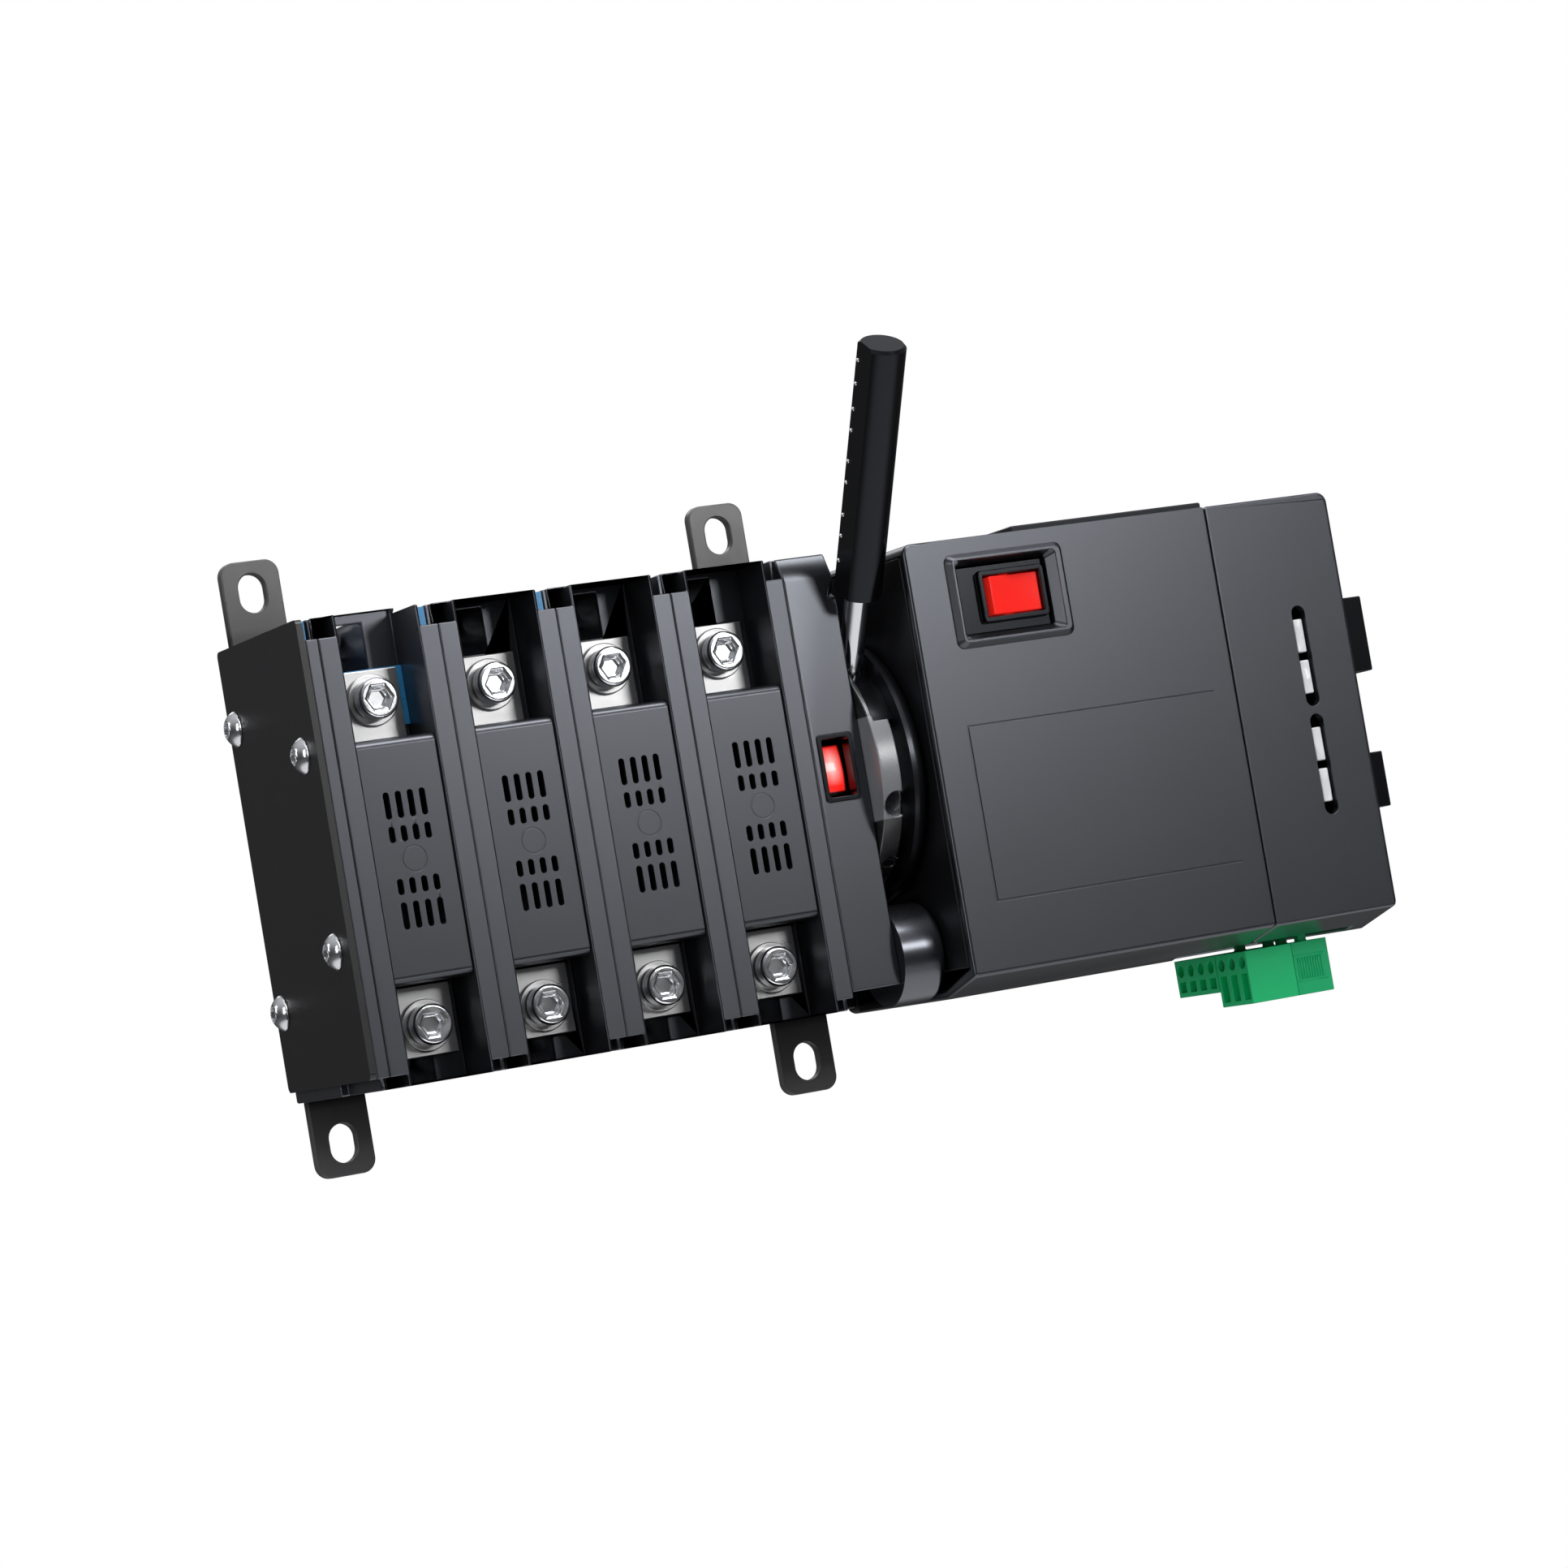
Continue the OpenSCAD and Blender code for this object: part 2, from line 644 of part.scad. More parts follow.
module drive_disc() color("#1b1b1e") difference() {
  union() {
    translate([disc_x0, shaft_y, shaft_z]) rotate([0, 90, 0])
      rotate_extrude() turned_section(disc_r, disc_x1 - disc_x0, disc_round);
    cyl_x(disc_x1 - eps, gear_x0, shaft_y, shaft_z, 7.5);
  }
  cyl_x(disc_x0 - 1, gear_x0 + 1, shaft_y, shaft_z, shaft_r);
}

module handle_rod() color("#d6d8db") radial(handle_deg)
  translate([0, 0, socket_floor + 0.2]) cylinder(h = grip_start + 14 - socket_floor - 0.2, r = rod_r);

module handle_grip() color("#17171a") radial(handle_deg) difference() {
  union() {
    translate([0, 0, grip_start]) cylinder(h = grip_end - grip_start - 0.8, r = grip_r);
    translate([0, 0, grip_end - 0.8 - eps]) cylinder(h = 0.8, r1 = grip_r, r2 = grip_r - 0.7);
  }
  // flat along the side that faces the poles
  translate([-grip_flat - 5, -grip_r - 1, grip_start - 1]) cube([5, 2 * grip_r + 2, grip_end - grip_start + 2]);
  translate([0, 0, grip_start - 1]) cylinder(h = 15, r = rod_r);
}

// ---------------------------------------------------------------- mechanism housing
module mechanism_housing() color("#2b2b2f") difference() {
  box(mech_x0, mech_x1, mech_cover_back, base_front, mech_z0, top);
  box(mech_x0 + mech_wall, mech_x1 - mech_wall, mech_cover_back - 1, base_front - 3, mech_z0 + 2.5, top - 3);
  cyl_x(mech_x0 - 1, mech_x1 + 1, shaft_y, shaft_z, shaft_r + run_gap);
  grip_scoop();
}

// Clearance for the hub end of the grip
module grip_scoop() radial(handle_deg) translate([0, 0, grip_start - 2]) cylinder(h = 40, r = grip_r + 1.2);

module mechanism_cover() color("#303136") difference() {
  on_x(mech_x0, mech_x1) polygon([
    [front, mech_z0],
    [mech_cover_back, mech_z0],
    [mech_cover_back, top],
    [front + 3, top],
    [front, top - 6]]);
  grip_scoop();
  on_y(front - 1, mech_cover_back + 1)
    rounded(window_x - window_w / 2, window_x + window_w / 2, window_z - window_h / 2, window_z + window_h / 2, 1);
}

module indicator_window() color("#2a2a2e") difference() {
  on_y(front - 0.4, mech_cover_back - 0.4)
    rounded(window_x - window_w / 2 + 0.05, window_x + window_w / 2 - 0.05,
      window_z - window_h / 2 + 0.05, window_z + window_h / 2 - 0.05, 0.9);
  on_y(front - 1, mech_cover_back)
    rounded(window_x - window_w / 2 + frame_w, window_x + window_w / 2 - frame_w,
      window_z - window_h / 2 + frame_w, window_z + window_h / 2 - frame_w, 0.8);
}

drum_r = 18.4;
flag_half = 31;
module indicator_drum() color("#1c1c1f") difference() {
  cyl_x(window_x - 4, window_x + 4, shaft_y, shaft_z, drum_r - 1);
  cyl_x(window_x - 5, window_x + 5, shaft_y, shaft_z, shaft_r);
}

module flag(deg) arc_block(window_x - 3.8, window_x + 3.8, drum_r - 1, drum_r + 0.2, deg - flag_half, deg + flag_half);

module indicator_flag_red() color("#e2211a") flag(0);

module indicator_flag_green() color("#2aa84a") flag(90);

// ---------------------------------------------------------------- drive
module drive_gear() color("#a9abaf") difference() {
  translate([0, shaft_y, shaft_z]) on_x(gear_x0, gear_x1) rotate([0, 0, mesh_deg]) gear_outline(gear_n);
  cyl_x(gear_x0 - 1, gear_x1 + 1, shaft_y, shaft_z, shaft_r);
}

module drive_motor() color("#141416") difference() {
  translate([mech_x1, motor_y, motor_z]) rotate([0, 90, 0])
    rotate_extrude() turned_section(motor_r, box_x0 - 0.6 - mech_x1, 2);
  cyl_x(mech_x1 + 2, box_x0, pinion_y, pinion_z, 2 + run_gap);
}

module motor_shaft() color("#b5b7bb") cyl_x(mech_x1 + 3, gear_x1 + 5, pinion_y, pinion_z, 2);

module motor_pinion() color("#b08d4f") difference() {
  translate([0, pinion_y, pinion_z]) on_x(gear_x0 - 0.5, gear_x1 + 0.5)
    rotate([0, 0, mesh_deg - 180 + 180 / pinion_n]) gear_outline(pinion_n);
  cyl_x(gear_x0 - 1, gear_x1 + 1, pinion_y, pinion_z, 2);
}

bracket_screw_z = [-30, 16];

module gear_bracket() color("#7e8085") difference() {
  union() {
    box(gear_x1 + 2.5, gear_x1 + 4.5, pinion_y - 8, base_front, pinion_z - 7, 22);
    box(gear_x1 + 2.5, gear_x1 + 14, base_front - 2, base_front, pinion_z - 7, 22);
  }
  cyl_x(gear_x1, gear_x1 + 6, shaft_y, shaft_z, shaft_r + run_gap);
  cyl_x(gear_x1, gear_x1 + 6, pinion_y, pinion_z, 2 + run_gap);
  for (z = bracket_screw_z) cyl_y(gear_x1 + 10, base_front - 3, base_front + 1, z, 1.6);
}

module gear_bracket_screws() color("#b3b5b9")
  for (z = bracket_screw_z) cap_screw(gear_x1 + 10, base_front - 2, z, 2.6, 1.8, 1.5, 5, 1.3);

// ---------------------------------------------------------------- control box
module control_base() color("#2a2a2e") difference() {
  union() {
    on_y(base_front, base_back) rounded(box_x0, box_x1, skirt_z, box_z1, 2.5);
    // side wall beside the handle hub
    box(box_x0, box_x0 + side_t, -box_front + skin + 0.2, base_front + 1, box_z0 + skin, box_z1 - skin);
    // upstand along the top
    box(strip_x[0], strip_x[1], -62, base_front + 1, box_z1 + 0.1, box_z1 + 3.2);
    box(strip_x[0], strip_x[1], base_front, base_back, box_z1 - 4, box_z1 + 3.2);
  }
  cyl_x(box_x0 - 1, box_x0 + side_t + 1, shaft_y, shaft_z, 7.5 + 0.4);
  cyl_x(box_x0 - 1, box_x0 + side_t + 1, pinion_y, pinion_z, 2.4);
  for (z = bracket_screw_z) cyl_y(gear_x1 + 10, base_front - 1, base_front + 4.2, z, 1.55);
  for (p = box_screw_at) cyl_y(p[0], base_front - 1, base_back + 1, p[1], 1.7);
}

strip_x = [box_x0 + 41, box_x0 + 96];
box_screw_at = [for (x = [box_x0 + 32, box_x1 - 16]) for (z = [box_z0 + 12, box_z1 - 12]) [x, z]];

module control_base_screws() color("#85878c")
  for (p = box_screw_at) {
    cyl_y(p[0], base_front - 5, base_back + eps, p[1], 1.6);
    cyl_y(p[0], base_back, base_back + 1.8, p[1], 3);
  }

// Side outline of a cover in Y and Z: the underside runs down to a skirt
module box_outline(inset) polygon([
  [-box_front + inset, box_z0 + inset],
  [skirt_y, skirt_z + inset],
  [base_front, skirt_z + inset],
  [base_front, box_z1 - inset],
  [-box_front + inset, box_z1 - inset]]);

module control_cover() color("#2e2f33") difference() {
  intersection() {
    on_x(box_x0, seam_x - 0.15) box_outline(0);
    on_y(-box_front, base_front) rounded(box_x0, seam_x + 20, skirt_z - 20, box_z1, 2.5);
  }
  on_x(box_x0 - 1, seam_x - 2.65) box_outline(skin);
  // the inner wall stays open toward the module for wiring
  box(seam_x - 5, seam_x + 1, -70, base_front - 4, -43, 40);
  // the underside is cut away in front of the terminal blocks
  box(under_x0, seam_x + 1, under_y0, under_y1, skirt_z - 5, box_z0 + 3.2);
  // the selector opening
  on_y(-box_front - 1, -box_front + skin + 1) rounded(sel_x0 + 1.2, sel_x1 - 1.2, sel_z0 + 1.2, sel_z1 - 1.2, 1);
  // engraved lines round three sides of the label area
  on_y(-box_front - 1, -box_front + line_d) {
    for (z = [-36.75, 6.25 - line_w]) translate([box_x0 + 9.3, z]) square([69.2, line_w]);
    translate([box_x0 + 9.3, -36.75]) square([line_w, 43]);
  }
}

module module_cover() color("#2c2d31") difference() {
  intersection() {
    on_x(seam_x + 0.15, box_x1) box_outline(0);
    on_y(-box_front, base_front) rounded(seam_x - 20, box_x1, skirt_z - 20, box_z1, 2.5);
  }
  on_x(seam_x + 2.65, box_x1 - skin) box_outline(skin);
  box(seam_x - 1, seam_x + 5, -70, base_front - 4, -43, 40);
  for (z = light_z) on_y(-box_front - 1, -box_front + skin + 1) obround(light_x, z, light_w, light_l);
  // opening in the underside for the terminal blocks
  box(seam_x - 1, under_x1, under_y0, under_y1, skirt_z - 5, box_z0 + 3.2);
  for (p = [upper_port, lower_port])
    box(box_x1 - skin - 1, box_x1 + 1, p[2] + 1, p[3] - 1, p[0] + 1, p[1] - 1);
}

module selector_bezel() color("#2a2b2f") difference() {
  union() {
    // the rim slopes up to a narrow ridge
    hull() {
      on_y(-box_front - 0.3, -box_front) rounded(sel_x0, sel_x1, sel_z0, sel_z1, 2);
      on_y(-box_front - rim_h, -box_front - 0.3)
        rounded(sel_x0 + 1.2, sel_x1 - 1.2, sel_z0 + 1.2, sel_z1 - 1.2, 1.4);
    }
    on_y(-box_front, -box_front + skin + 1.5) rounded(sel_x0 + 1.3, sel_x1 - 1.3, sel_z0 + 1.3, sel_z1 - 1.3, 1);
  }
  // and falls away again toward the switch
  hull() {
    on_y(-box_front - rim_h - 0.2, -box_front - rim_h + eps)
      rounded(sel_x0 + 1.9, sel_x1 - 2.6, sel_z0 + 1.9, sel_z1 - 1.8, 1.1);
    on_y(-box_front + 0.4, -box_front + 0.5) rounded(sel_x0 + 3.2, sel_x1 - 4.6, sel_z0 + 3.2, sel_z1 - 3, 0.8);
  }
  on_y(-box_front, -box_front + skin + 3) rounded(sel_x0 + 3.2, sel_x1 - 4.6, sel_z0 + 3.2, sel_z1 - 3, 0.8);
}

module selector_body() color("#101012") difference() {
  union() {
    box(sel_x0 + 3.5, sel_x1 - 4.9, -box_front + 1.9, -box_front + 14, sel_z0 + 3.5, sel_z1 - 3.3);
    // raised frame round the rocker
    on_y(-box_front + 0.2, -box_front + 2)
      rounded(rocker_x - rocker_w / 2 - raise, rocker_x + rocker_w / 2 + raise,
        rocker_z - rocker_h / 2 - raise, rocker_z + rocker_h / 2 + raise, 1);
  }
  box(rocker_x - rocker_w / 2 - 0.4, rocker_x + rocker_w / 2 + 0.4, -box_front - 1, -box_front + 10,
    rocker_z - rocker_h / 2 - 0.4, rocker_z + rocker_h / 2 + 0.4);
  translate([rocker_x, -box_front + 4.5, sel_z0 + 4]) cylinder(h = sel_z1 - sel_z0 - 8, r = 1.1 + run_gap);
}

// The rocker tips about an upright axis, its left side pressed in at rest
module selector_rocker() color("#ff1f14") translate([rocker_x, -box_front + 4.5, rocker_z])
  rotate([0, 0, rocker_tip]) {
    translate([0, 0, -rocker_h / 2]) linear_extrude(rocker_h) polygon([
      [-rocker_w / 2 + 0.25, 0.6],
      [-rocker_w / 2 + 0.25, -4.1],
      [0, -3.3],
      [rocker_w / 2 - 0.25, -4.1],
      [rocker_w / 2 - 0.25, 0.6],
      [3, 2],
      [-3, 2]]);
    translate([0, 0, -rocker_h / 2 - 1.6]) cylinder(h = rocker_h + 3.2, r = 1.1);
  }

module control_board() color("#1f5a37")
  box(gear_x1 + 8, box_x1 - 7.5, -66, -64.4, box_z0 + 12, 24);

module control_relays() color("#1a1a1c")
  for (k = [0:3]) box(gear_x1 + 18 + 22 * k, gear_x1 + 34 + 22 * k, -64.4, -48, -34, -21);

module supply_transformer() color("#5a4a2c") {
  box(gear_x1 + 22, gear_x1 + 56, -64.4, -40, -12, 18);
}

module indicator_light_pipes() color("#e6e8ea")
  for (z = light_z)
    for (s = [-1, 1])
      box(light_x - 1.3, light_x + 1.3, -box_front + 0.9, -66, z + s * 5.2 - 4.2, z + s * 5.2 + 4.2);

// Heights, depths and reach of the two cable ports on the right side
upper_port = [5.75, 24.75, -78, -62, 7.5];
lower_port = [-28.75, -14.75, -78, -64, 6];

module side_socket(p) difference() {
  z0 = p[0];
  z1 = p[1];
  y0 = p[2];
  y1 = p[3];
  reach = p[4];
  union() {
    box(box_x1, box_x1 + reach, y0, y1, z0, z1);
    box(box_x1 - skin - 4, box_x1 + eps, y0 + 1.1, y1 - 1.1, z0 + 1.1, z1 - 1.1);
  }
  box(box_x1 - 1, box_x1 + reach + 1, y0 + 2.5, y1 - 2.5, z0 + 2.5, z1 - 2.5);
}

module upper_side_socket() color("#17171a") side_socket(upper_port);

module lower_side_socket() color("#17171a") side_socket(lower_port);

board_z = skirt_z + skin;
module terminal_board() color("#1f5a37")
  box(plug_x0 + 3, box_x1 - skin - 0.5, skirt_y + 0.5, base_front - 1, board_z, board_z + 1.6);

plug_y = [-62, -62 + 3 * way + 0.2, -62 + 3 * way + 0.7, -62 + 7 * way + 0.9];

// The header of one block: a socket that opens toward -X, on two posts
module header(y0, y1, z0) difference() {
  union() {
    box(plug_x1 + 0.1, head_x1, y0, y1, z0, plug_z1);
    for (y = [y0 + 2, y1 - 4])
      box(head_x1 - 7, head_x1 - 4.5, y, y + 2, plug_z1 - eps, board_z);
  }
  box(plug_x1 - 1, head_x1 - 2.5, y0 + 1, y1 - 1, z0 + 2.2, plug_z1 - 2.2);
}

module terminal_headers() color("#2fb878") {
  header(plug_y[0], plug_y[1], plug_z0);
  header(plug_y[2], plug_y[3], rear_plug_z0);
}

module plug(y0, y1, z0, ways) difference() {
  union() {
    box(plug_x0, plug_x1, y0, y1, z0, plug_z1);
    box(plug_x1 - eps, head_x1 - 3.5, y0 + 1.3, y1 - 1.3, z0 + 2.5, plug_z1 - 2.5);
  }
  for (k = [0:ways - 1]) {
    y = y0 + (y1 - y0) * (k + 0.5) / ways;
    // wire entry, and the screw hole above it
    box(plug_x0 - 1, plug_x0 + 9, y - 1.6, y + 1.6, z0 + 1.2, plug_z1 - 5.6);
    cyl_x(plug_x0 - 1, plug_x0 + 6, y, plug_z1 - 2.8, 1.5);
  }
}

module front_plug() color("#27a06a") plug(plug_y[0], plug_y[1], plug_z0, 3);

module rear_plug() color("#27a06a") plug(plug_y[2], plug_y[3], rear_plug_z0, 4);

module plug_screw(y) difference() {
  cyl_x(plug_x0 + 1, plug_x0 + 6, y, plug_z1 - 2.8, 1.4);
  box(plug_x0, plug_x0 + 1.7, y - 1.5, y + 1.5, plug_z1 - 3.1, plug_z1 - 2.5);
}

module plug_screws() color("#b7b9bd")
  for (k = [0:2]) plug_screw(plug_y[0] + (plug_y[1] - plug_y[0]) * (k + 0.5) / 3);

base_plate();
left_end_plate();
end_barrier();
end_plate_screws();
left_mounting_strap();
right_mounting_strap();
strap_screws();
pole_housing_1();
pole_housing_2();
pole_housing_3();
pole_housing_4();
pole_covers();
neutral_insulators();
barrier_slot_strips();
upper_line_terminals();
lower_line_terminals();
load_bars();
terminal_washers();
front_terminal_screws();
rear_terminal_screws();
arc_chute_plates();
main_shaft();
contact_carriers();
moving_contacts();
mechanism_housing();
mechanism_cover();
indicator_window();
indicator_drum();
indicator_flag_red();
indicator_flag_green();
handle_hub();
lever_clamp_block();
drive_disc();
hub_set_screw();
handle_rod();
handle_grip();
drive_gear();
drive_motor();
motor_shaft();
motor_pinion();
gear_bracket();
gear_bracket_screws();
control_base();
control_cover();
module_cover();
selector_bezel();
selector_body();
selector_rocker();
control_board();
control_relays();
supply_transformer();
indicator_light_pipes();
upper_side_socket();
lower_side_socket();
terminal_board();
terminal_headers();
front_plug();
rear_plug();
plug_screws();
control_base_screws();
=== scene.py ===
import bpy, bmesh, math
from mathutils import Matrix, Vector


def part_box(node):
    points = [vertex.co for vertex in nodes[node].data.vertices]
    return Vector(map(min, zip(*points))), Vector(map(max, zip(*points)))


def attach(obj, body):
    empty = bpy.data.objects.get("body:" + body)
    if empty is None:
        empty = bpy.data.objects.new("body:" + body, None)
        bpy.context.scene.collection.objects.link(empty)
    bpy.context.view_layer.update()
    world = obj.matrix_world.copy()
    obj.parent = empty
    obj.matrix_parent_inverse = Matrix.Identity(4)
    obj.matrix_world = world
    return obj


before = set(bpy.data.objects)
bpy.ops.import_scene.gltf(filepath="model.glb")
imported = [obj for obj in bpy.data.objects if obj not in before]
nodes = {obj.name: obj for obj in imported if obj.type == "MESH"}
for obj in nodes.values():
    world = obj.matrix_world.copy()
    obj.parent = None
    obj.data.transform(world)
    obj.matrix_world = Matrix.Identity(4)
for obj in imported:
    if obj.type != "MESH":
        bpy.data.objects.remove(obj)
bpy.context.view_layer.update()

scene = bpy.context.scene
MM = 0.001

# ------------------------------------------------------------------ camera
CAM_POS = Vector((-0.4619, -1.1227, -0.0493))
CAM_RIGHT = Vector((0.8937, -0.4164, -0.1671)).normalized()
CAM_UP = Vector((0.1334, -0.1090, 0.9850))
cam_data = bpy.data.cameras.new("camera")
cam = bpy.data.objects.new("camera", cam_data)
scene.collection.objects.link(cam)
cam_back = CAM_RIGHT.cross(CAM_UP).normalized()
cam.matrix_world = Matrix.Translation(CAM_POS) @ Matrix(
    (CAM_RIGHT, cam_back.cross(CAM_RIGHT).normalized(), cam_back)).transposed().to_4x4()
cam_data.sensor_width = 36.0
cam_data.lens = 111.87
cam_data.clip_start = 0.05
cam_data.clip_end = 30
scene.camera = cam
scene.view_settings.view_transform = "Standard"


# ------------------------------------------------------------------ light
def area(name, pos, target, size, radiance):
    """A rectangular softbox of the given surface brightness."""
    data = bpy.data.lights.new(name, "AREA")
    data.shape = "RECTANGLE"
    data.size, data.size_y = size
    data.energy = radiance * math.pi * size[0] * size[1]
    obj = bpy.data.objects.new(name, data)
    scene.collection.objects.link(obj)
    obj.location = pos
    obj.rotation_mode = "QUATERNION"
    obj.rotation_quaternion = (Vector(target) - Vector(pos)).to_track_quat("-Z", "Y")


FRONT = (0.05, -0.05, 0.02)
MIDDLE = (0.05, -0.05, 0.0)
LEFT = (-0.05, -0.05, 0.0)
area("key_softbox", (0.75, -1.62, 0.38), FRONT, (0.36, 0.34), 9.3)
area("top_front", (0.35, -0.93, 1.28), FRONT, (1.1, 0.4), 7.0)
area("left_strip", (-1.35, -0.85, 0.30), LEFT, (0.20, 0.9), 5.0)
area("rim_left", (-1.5, 0.75, 0.50), LEFT, (0.4, 0.8), 3.0)
area("top_softbox", (0.0, -0.50, 1.5), MIDDLE, (1.2, 0.5), 3.0)
area("low_strip", (0.1, -1.25, -0.85), MIDDLE, (1.0, 0.14), 4.0)
area("back_softbox", (0.3, 1.4, 1.0), MIDDLE, (1.0, 0.5), 2.0)

world = bpy.data.worlds.new("studio")
scene.world = world
world.use_nodes = True
sky = world.node_tree.nodes
join = world.node_tree.links.new
height = sky.new("ShaderNodeMapRange")
height.inputs["From Min"].default_value = -1
split = sky.new("ShaderNodeSeparateXYZ")
join(sky.new("ShaderNodeTexCoord").outputs["Generated"], split.inputs[0])
join(split.outputs["Z"], height.inputs["Value"])


def sky_ramp(ends, between=()):
    """A background whose colour runs from straight down (0) to straight up (1)."""
    ramp = sky.new("ShaderNodeValToRGB")
    join(height.outputs[0], ramp.inputs["Fac"])
    stops = ramp.color_ramp.elements
    for stop, (at, color) in zip(list(stops), ends):
        stop.position, stop.color = at, (*color, 1)
    for at, level in between:
        stops.new(at).color = (level, level, level * 1.02, 1)
    shade = sky.new("ShaderNodeBackground")
    join(ramp.outputs["Color"], shade.inputs["Color"])
    return shade.outputs[0]


def switch_by_ray(kind, no, yes):
    pick = sky.new("ShaderNodeMixShader")
    join(rays.outputs[kind], pick.inputs[0])
    join(no, pick.inputs[1])
    join(yes, pick.inputs[2])
    return pick.outputs[0]


rays = sky.new("ShaderNodeLightPath")
white = sky["Background"]
white.inputs["Color"].default_value = (1, 1, 1, 1)
# what glossy surfaces reflect: dark round the sides, light above and below
mirrored = sky_ramp(((0.0, (0.80, 0.80, 0.80)), (1.0, (0.60, 0.61, 0.64))),
                    ((0.14, 0.70), (0.23, 0.12), (0.40, 0.05), (0.50, 0.06), (0.60, 0.09), (0.75, 0.28)))
# soft fill for matt surfaces, without washing out the gloss of the dark plastic
fill = sky_ramp(((0.15, (0.20, 0.20, 0.21)), (0.85, (0.85, 0.86, 0.88))))
lit = switch_by_ray("Is Diffuse Ray", mirrored, fill)
join(switch_by_ray("Is Camera Ray", lit, white.outputs[0]), sky["World Output"].inputs["Surface"])


# ------------------------------------------------------------------ material tools
class Mat:
    """A node material built up from small procedural steps."""

    def __init__(self, name, color, rough=0.5, metallic=0.0, **sockets):
        self.m = bpy.data.materials.new(name)
        self.m.use_nodes = True
        self.nt = self.m.node_tree
        self.b = self.nt.nodes["Principled BSDF"]
        self.color = (*color, 1.0)
        self.b.inputs["Base Color"].default_value = self.color
        self.b.inputs["Roughness"].default_value = rough
        self.b.inputs["Metallic"].default_value = metallic
        for key, value in sockets.items():
            self.b.inputs[key.replace("_", " ")].default_value = value
        self.rough = rough
        self.coord = self.nt.nodes.new("ShaderNodeTexCoord")
        self.normal = None
        self.tint = None

    def node(self, kind, **values):
        n = self.nt.nodes.new("ShaderNode" + kind)
        for key, value in values.items():
            if key in n.inputs.keys():
                n.inputs[key].default_value = value
            else:
                setattr(n, key, value)
        return n

    def link(self, a, b):
        self.nt.links.new(a, b)

    def space(self, stretch=(1, 1, 1)):
        n = self.node("Mapping")
        n.inputs["Scale"].default_value = stretch
        self.link(self.coord.outputs["Object"], n.inputs["Vector"])
        return n.outputs[0]

    def noise(self, scale, detail=3.0, stretch=(1, 1, 1), rough=0.6, distort=0.0):
        n = self.node("TexNoise", Scale=scale, Detail=detail, Roughness=rough, Distortion=distort)
        self.link(self.space(stretch), n.inputs["Vector"])
        return n.outputs["Fac"]

    def distance(self, axis, centre=0.0):
        """Distance in metres from the plane of the part at centre, in millimetres."""
        split = self.node("SeparateXYZ")
        self.link(self.coord.outputs["Object"], split.inputs[0])
        shifted = self.node("Math", operation="SUBTRACT")
        self.link(split.outputs[axis], shifted.inputs[0])
        shifted.inputs[1].default_value = centre * MM
        size = self.node("Math", operation="ABSOLUTE")
        self.link(shifted.outputs[0], size.inputs[0])
        return size.outputs[0]

    def along(self, axis, centre, half, soft):
        """1 inside a band about a plane of the part, 0 outside it; lengths in millimetres."""
        return self.remap(self.distance(axis, centre), (half - soft) * MM, (half + soft) * MM, 1.0, 0.0)

    def both(self, a, b):
        n = self.node("Math", operation="MULTIPLY")
        self.link(a, n.inputs[0])
        self.link(b, n.inputs[1])
        return n.outputs[0]

    def voronoi(self, scale, stretch=(1, 1, 1)):
        n = self.node("TexVoronoi", Scale=scale)
        self.link(self.space(stretch), n.inputs["Vector"])
        return n.outputs["Distance"]

    def remap(self, value, lo, hi, to_lo, to_hi):
        n = self.node("MapRange")
        for key, v in (("From Min", lo), ("From Max", hi), ("To Min", to_lo), ("To Max", to_hi)):
            n.inputs[key].default_value = v
        self.link(value, n.inputs["Value"])
        return n.outputs[0]

    def bump(self, height, strength, depth):
        """Adds relief of the given depth in metres."""
        n = self.node("Bump", Strength=strength, Distance=depth)
        self.link(height, n.inputs["Height"])
        if self.normal:
            self.link(self.normal, n.inputs["Normal"])
        self.normal = n.outputs[0]
        self.link(self.normal, self.b.inputs["Normal"])

    def mix(self, fac, other):
        """Blends another colour over the base where fac is high."""
        n = self.node("Mix")
        n.data_type = "RGBA"
        n.inputs[7].default_value = (*other, 1.0)
        if self.tint is None:
            n.inputs[6].default_value = self.color
        else:
            self.link(self.tint, n.inputs[6])
        self.link(fac, n.inputs[0])
        self.tint = n.outputs[2]
        self.link(self.tint, self.b.inputs["Base Color"])

    def vary_rough(self, value, spread):
        varied = self.remap(value, 0.25, 0.75, self.rough - spread, self.rough + spread)
        self.link(varied, self.b.inputs["Roughness"])


def shade(color, factor, lift=0.0):
    return tuple(min(1, c * factor + lift) for c in color)


def plastic(name, color, rough=0.4, grain=1.0, ior=1.7):
    """Moulded plastic with a fine spark-eroded skin and faint flow mottling."""
    m = Mat(name, color, rough, IOR=ior, Specular_Tint=(0.86, 0.90, 1.0, 1.0))
    m.bump(m.noise(2600, 1.0, rough=0.5), 0.05 * grain, 0.00002)
    m.mix(m.remap(m.noise(30, 4.0, distort=0.4), 0.35, 0.65, 0.0, 0.4), shade(color, 1.2))
    m.vary_rough(m.noise(60, 2.0), 0.008)
    return m.m


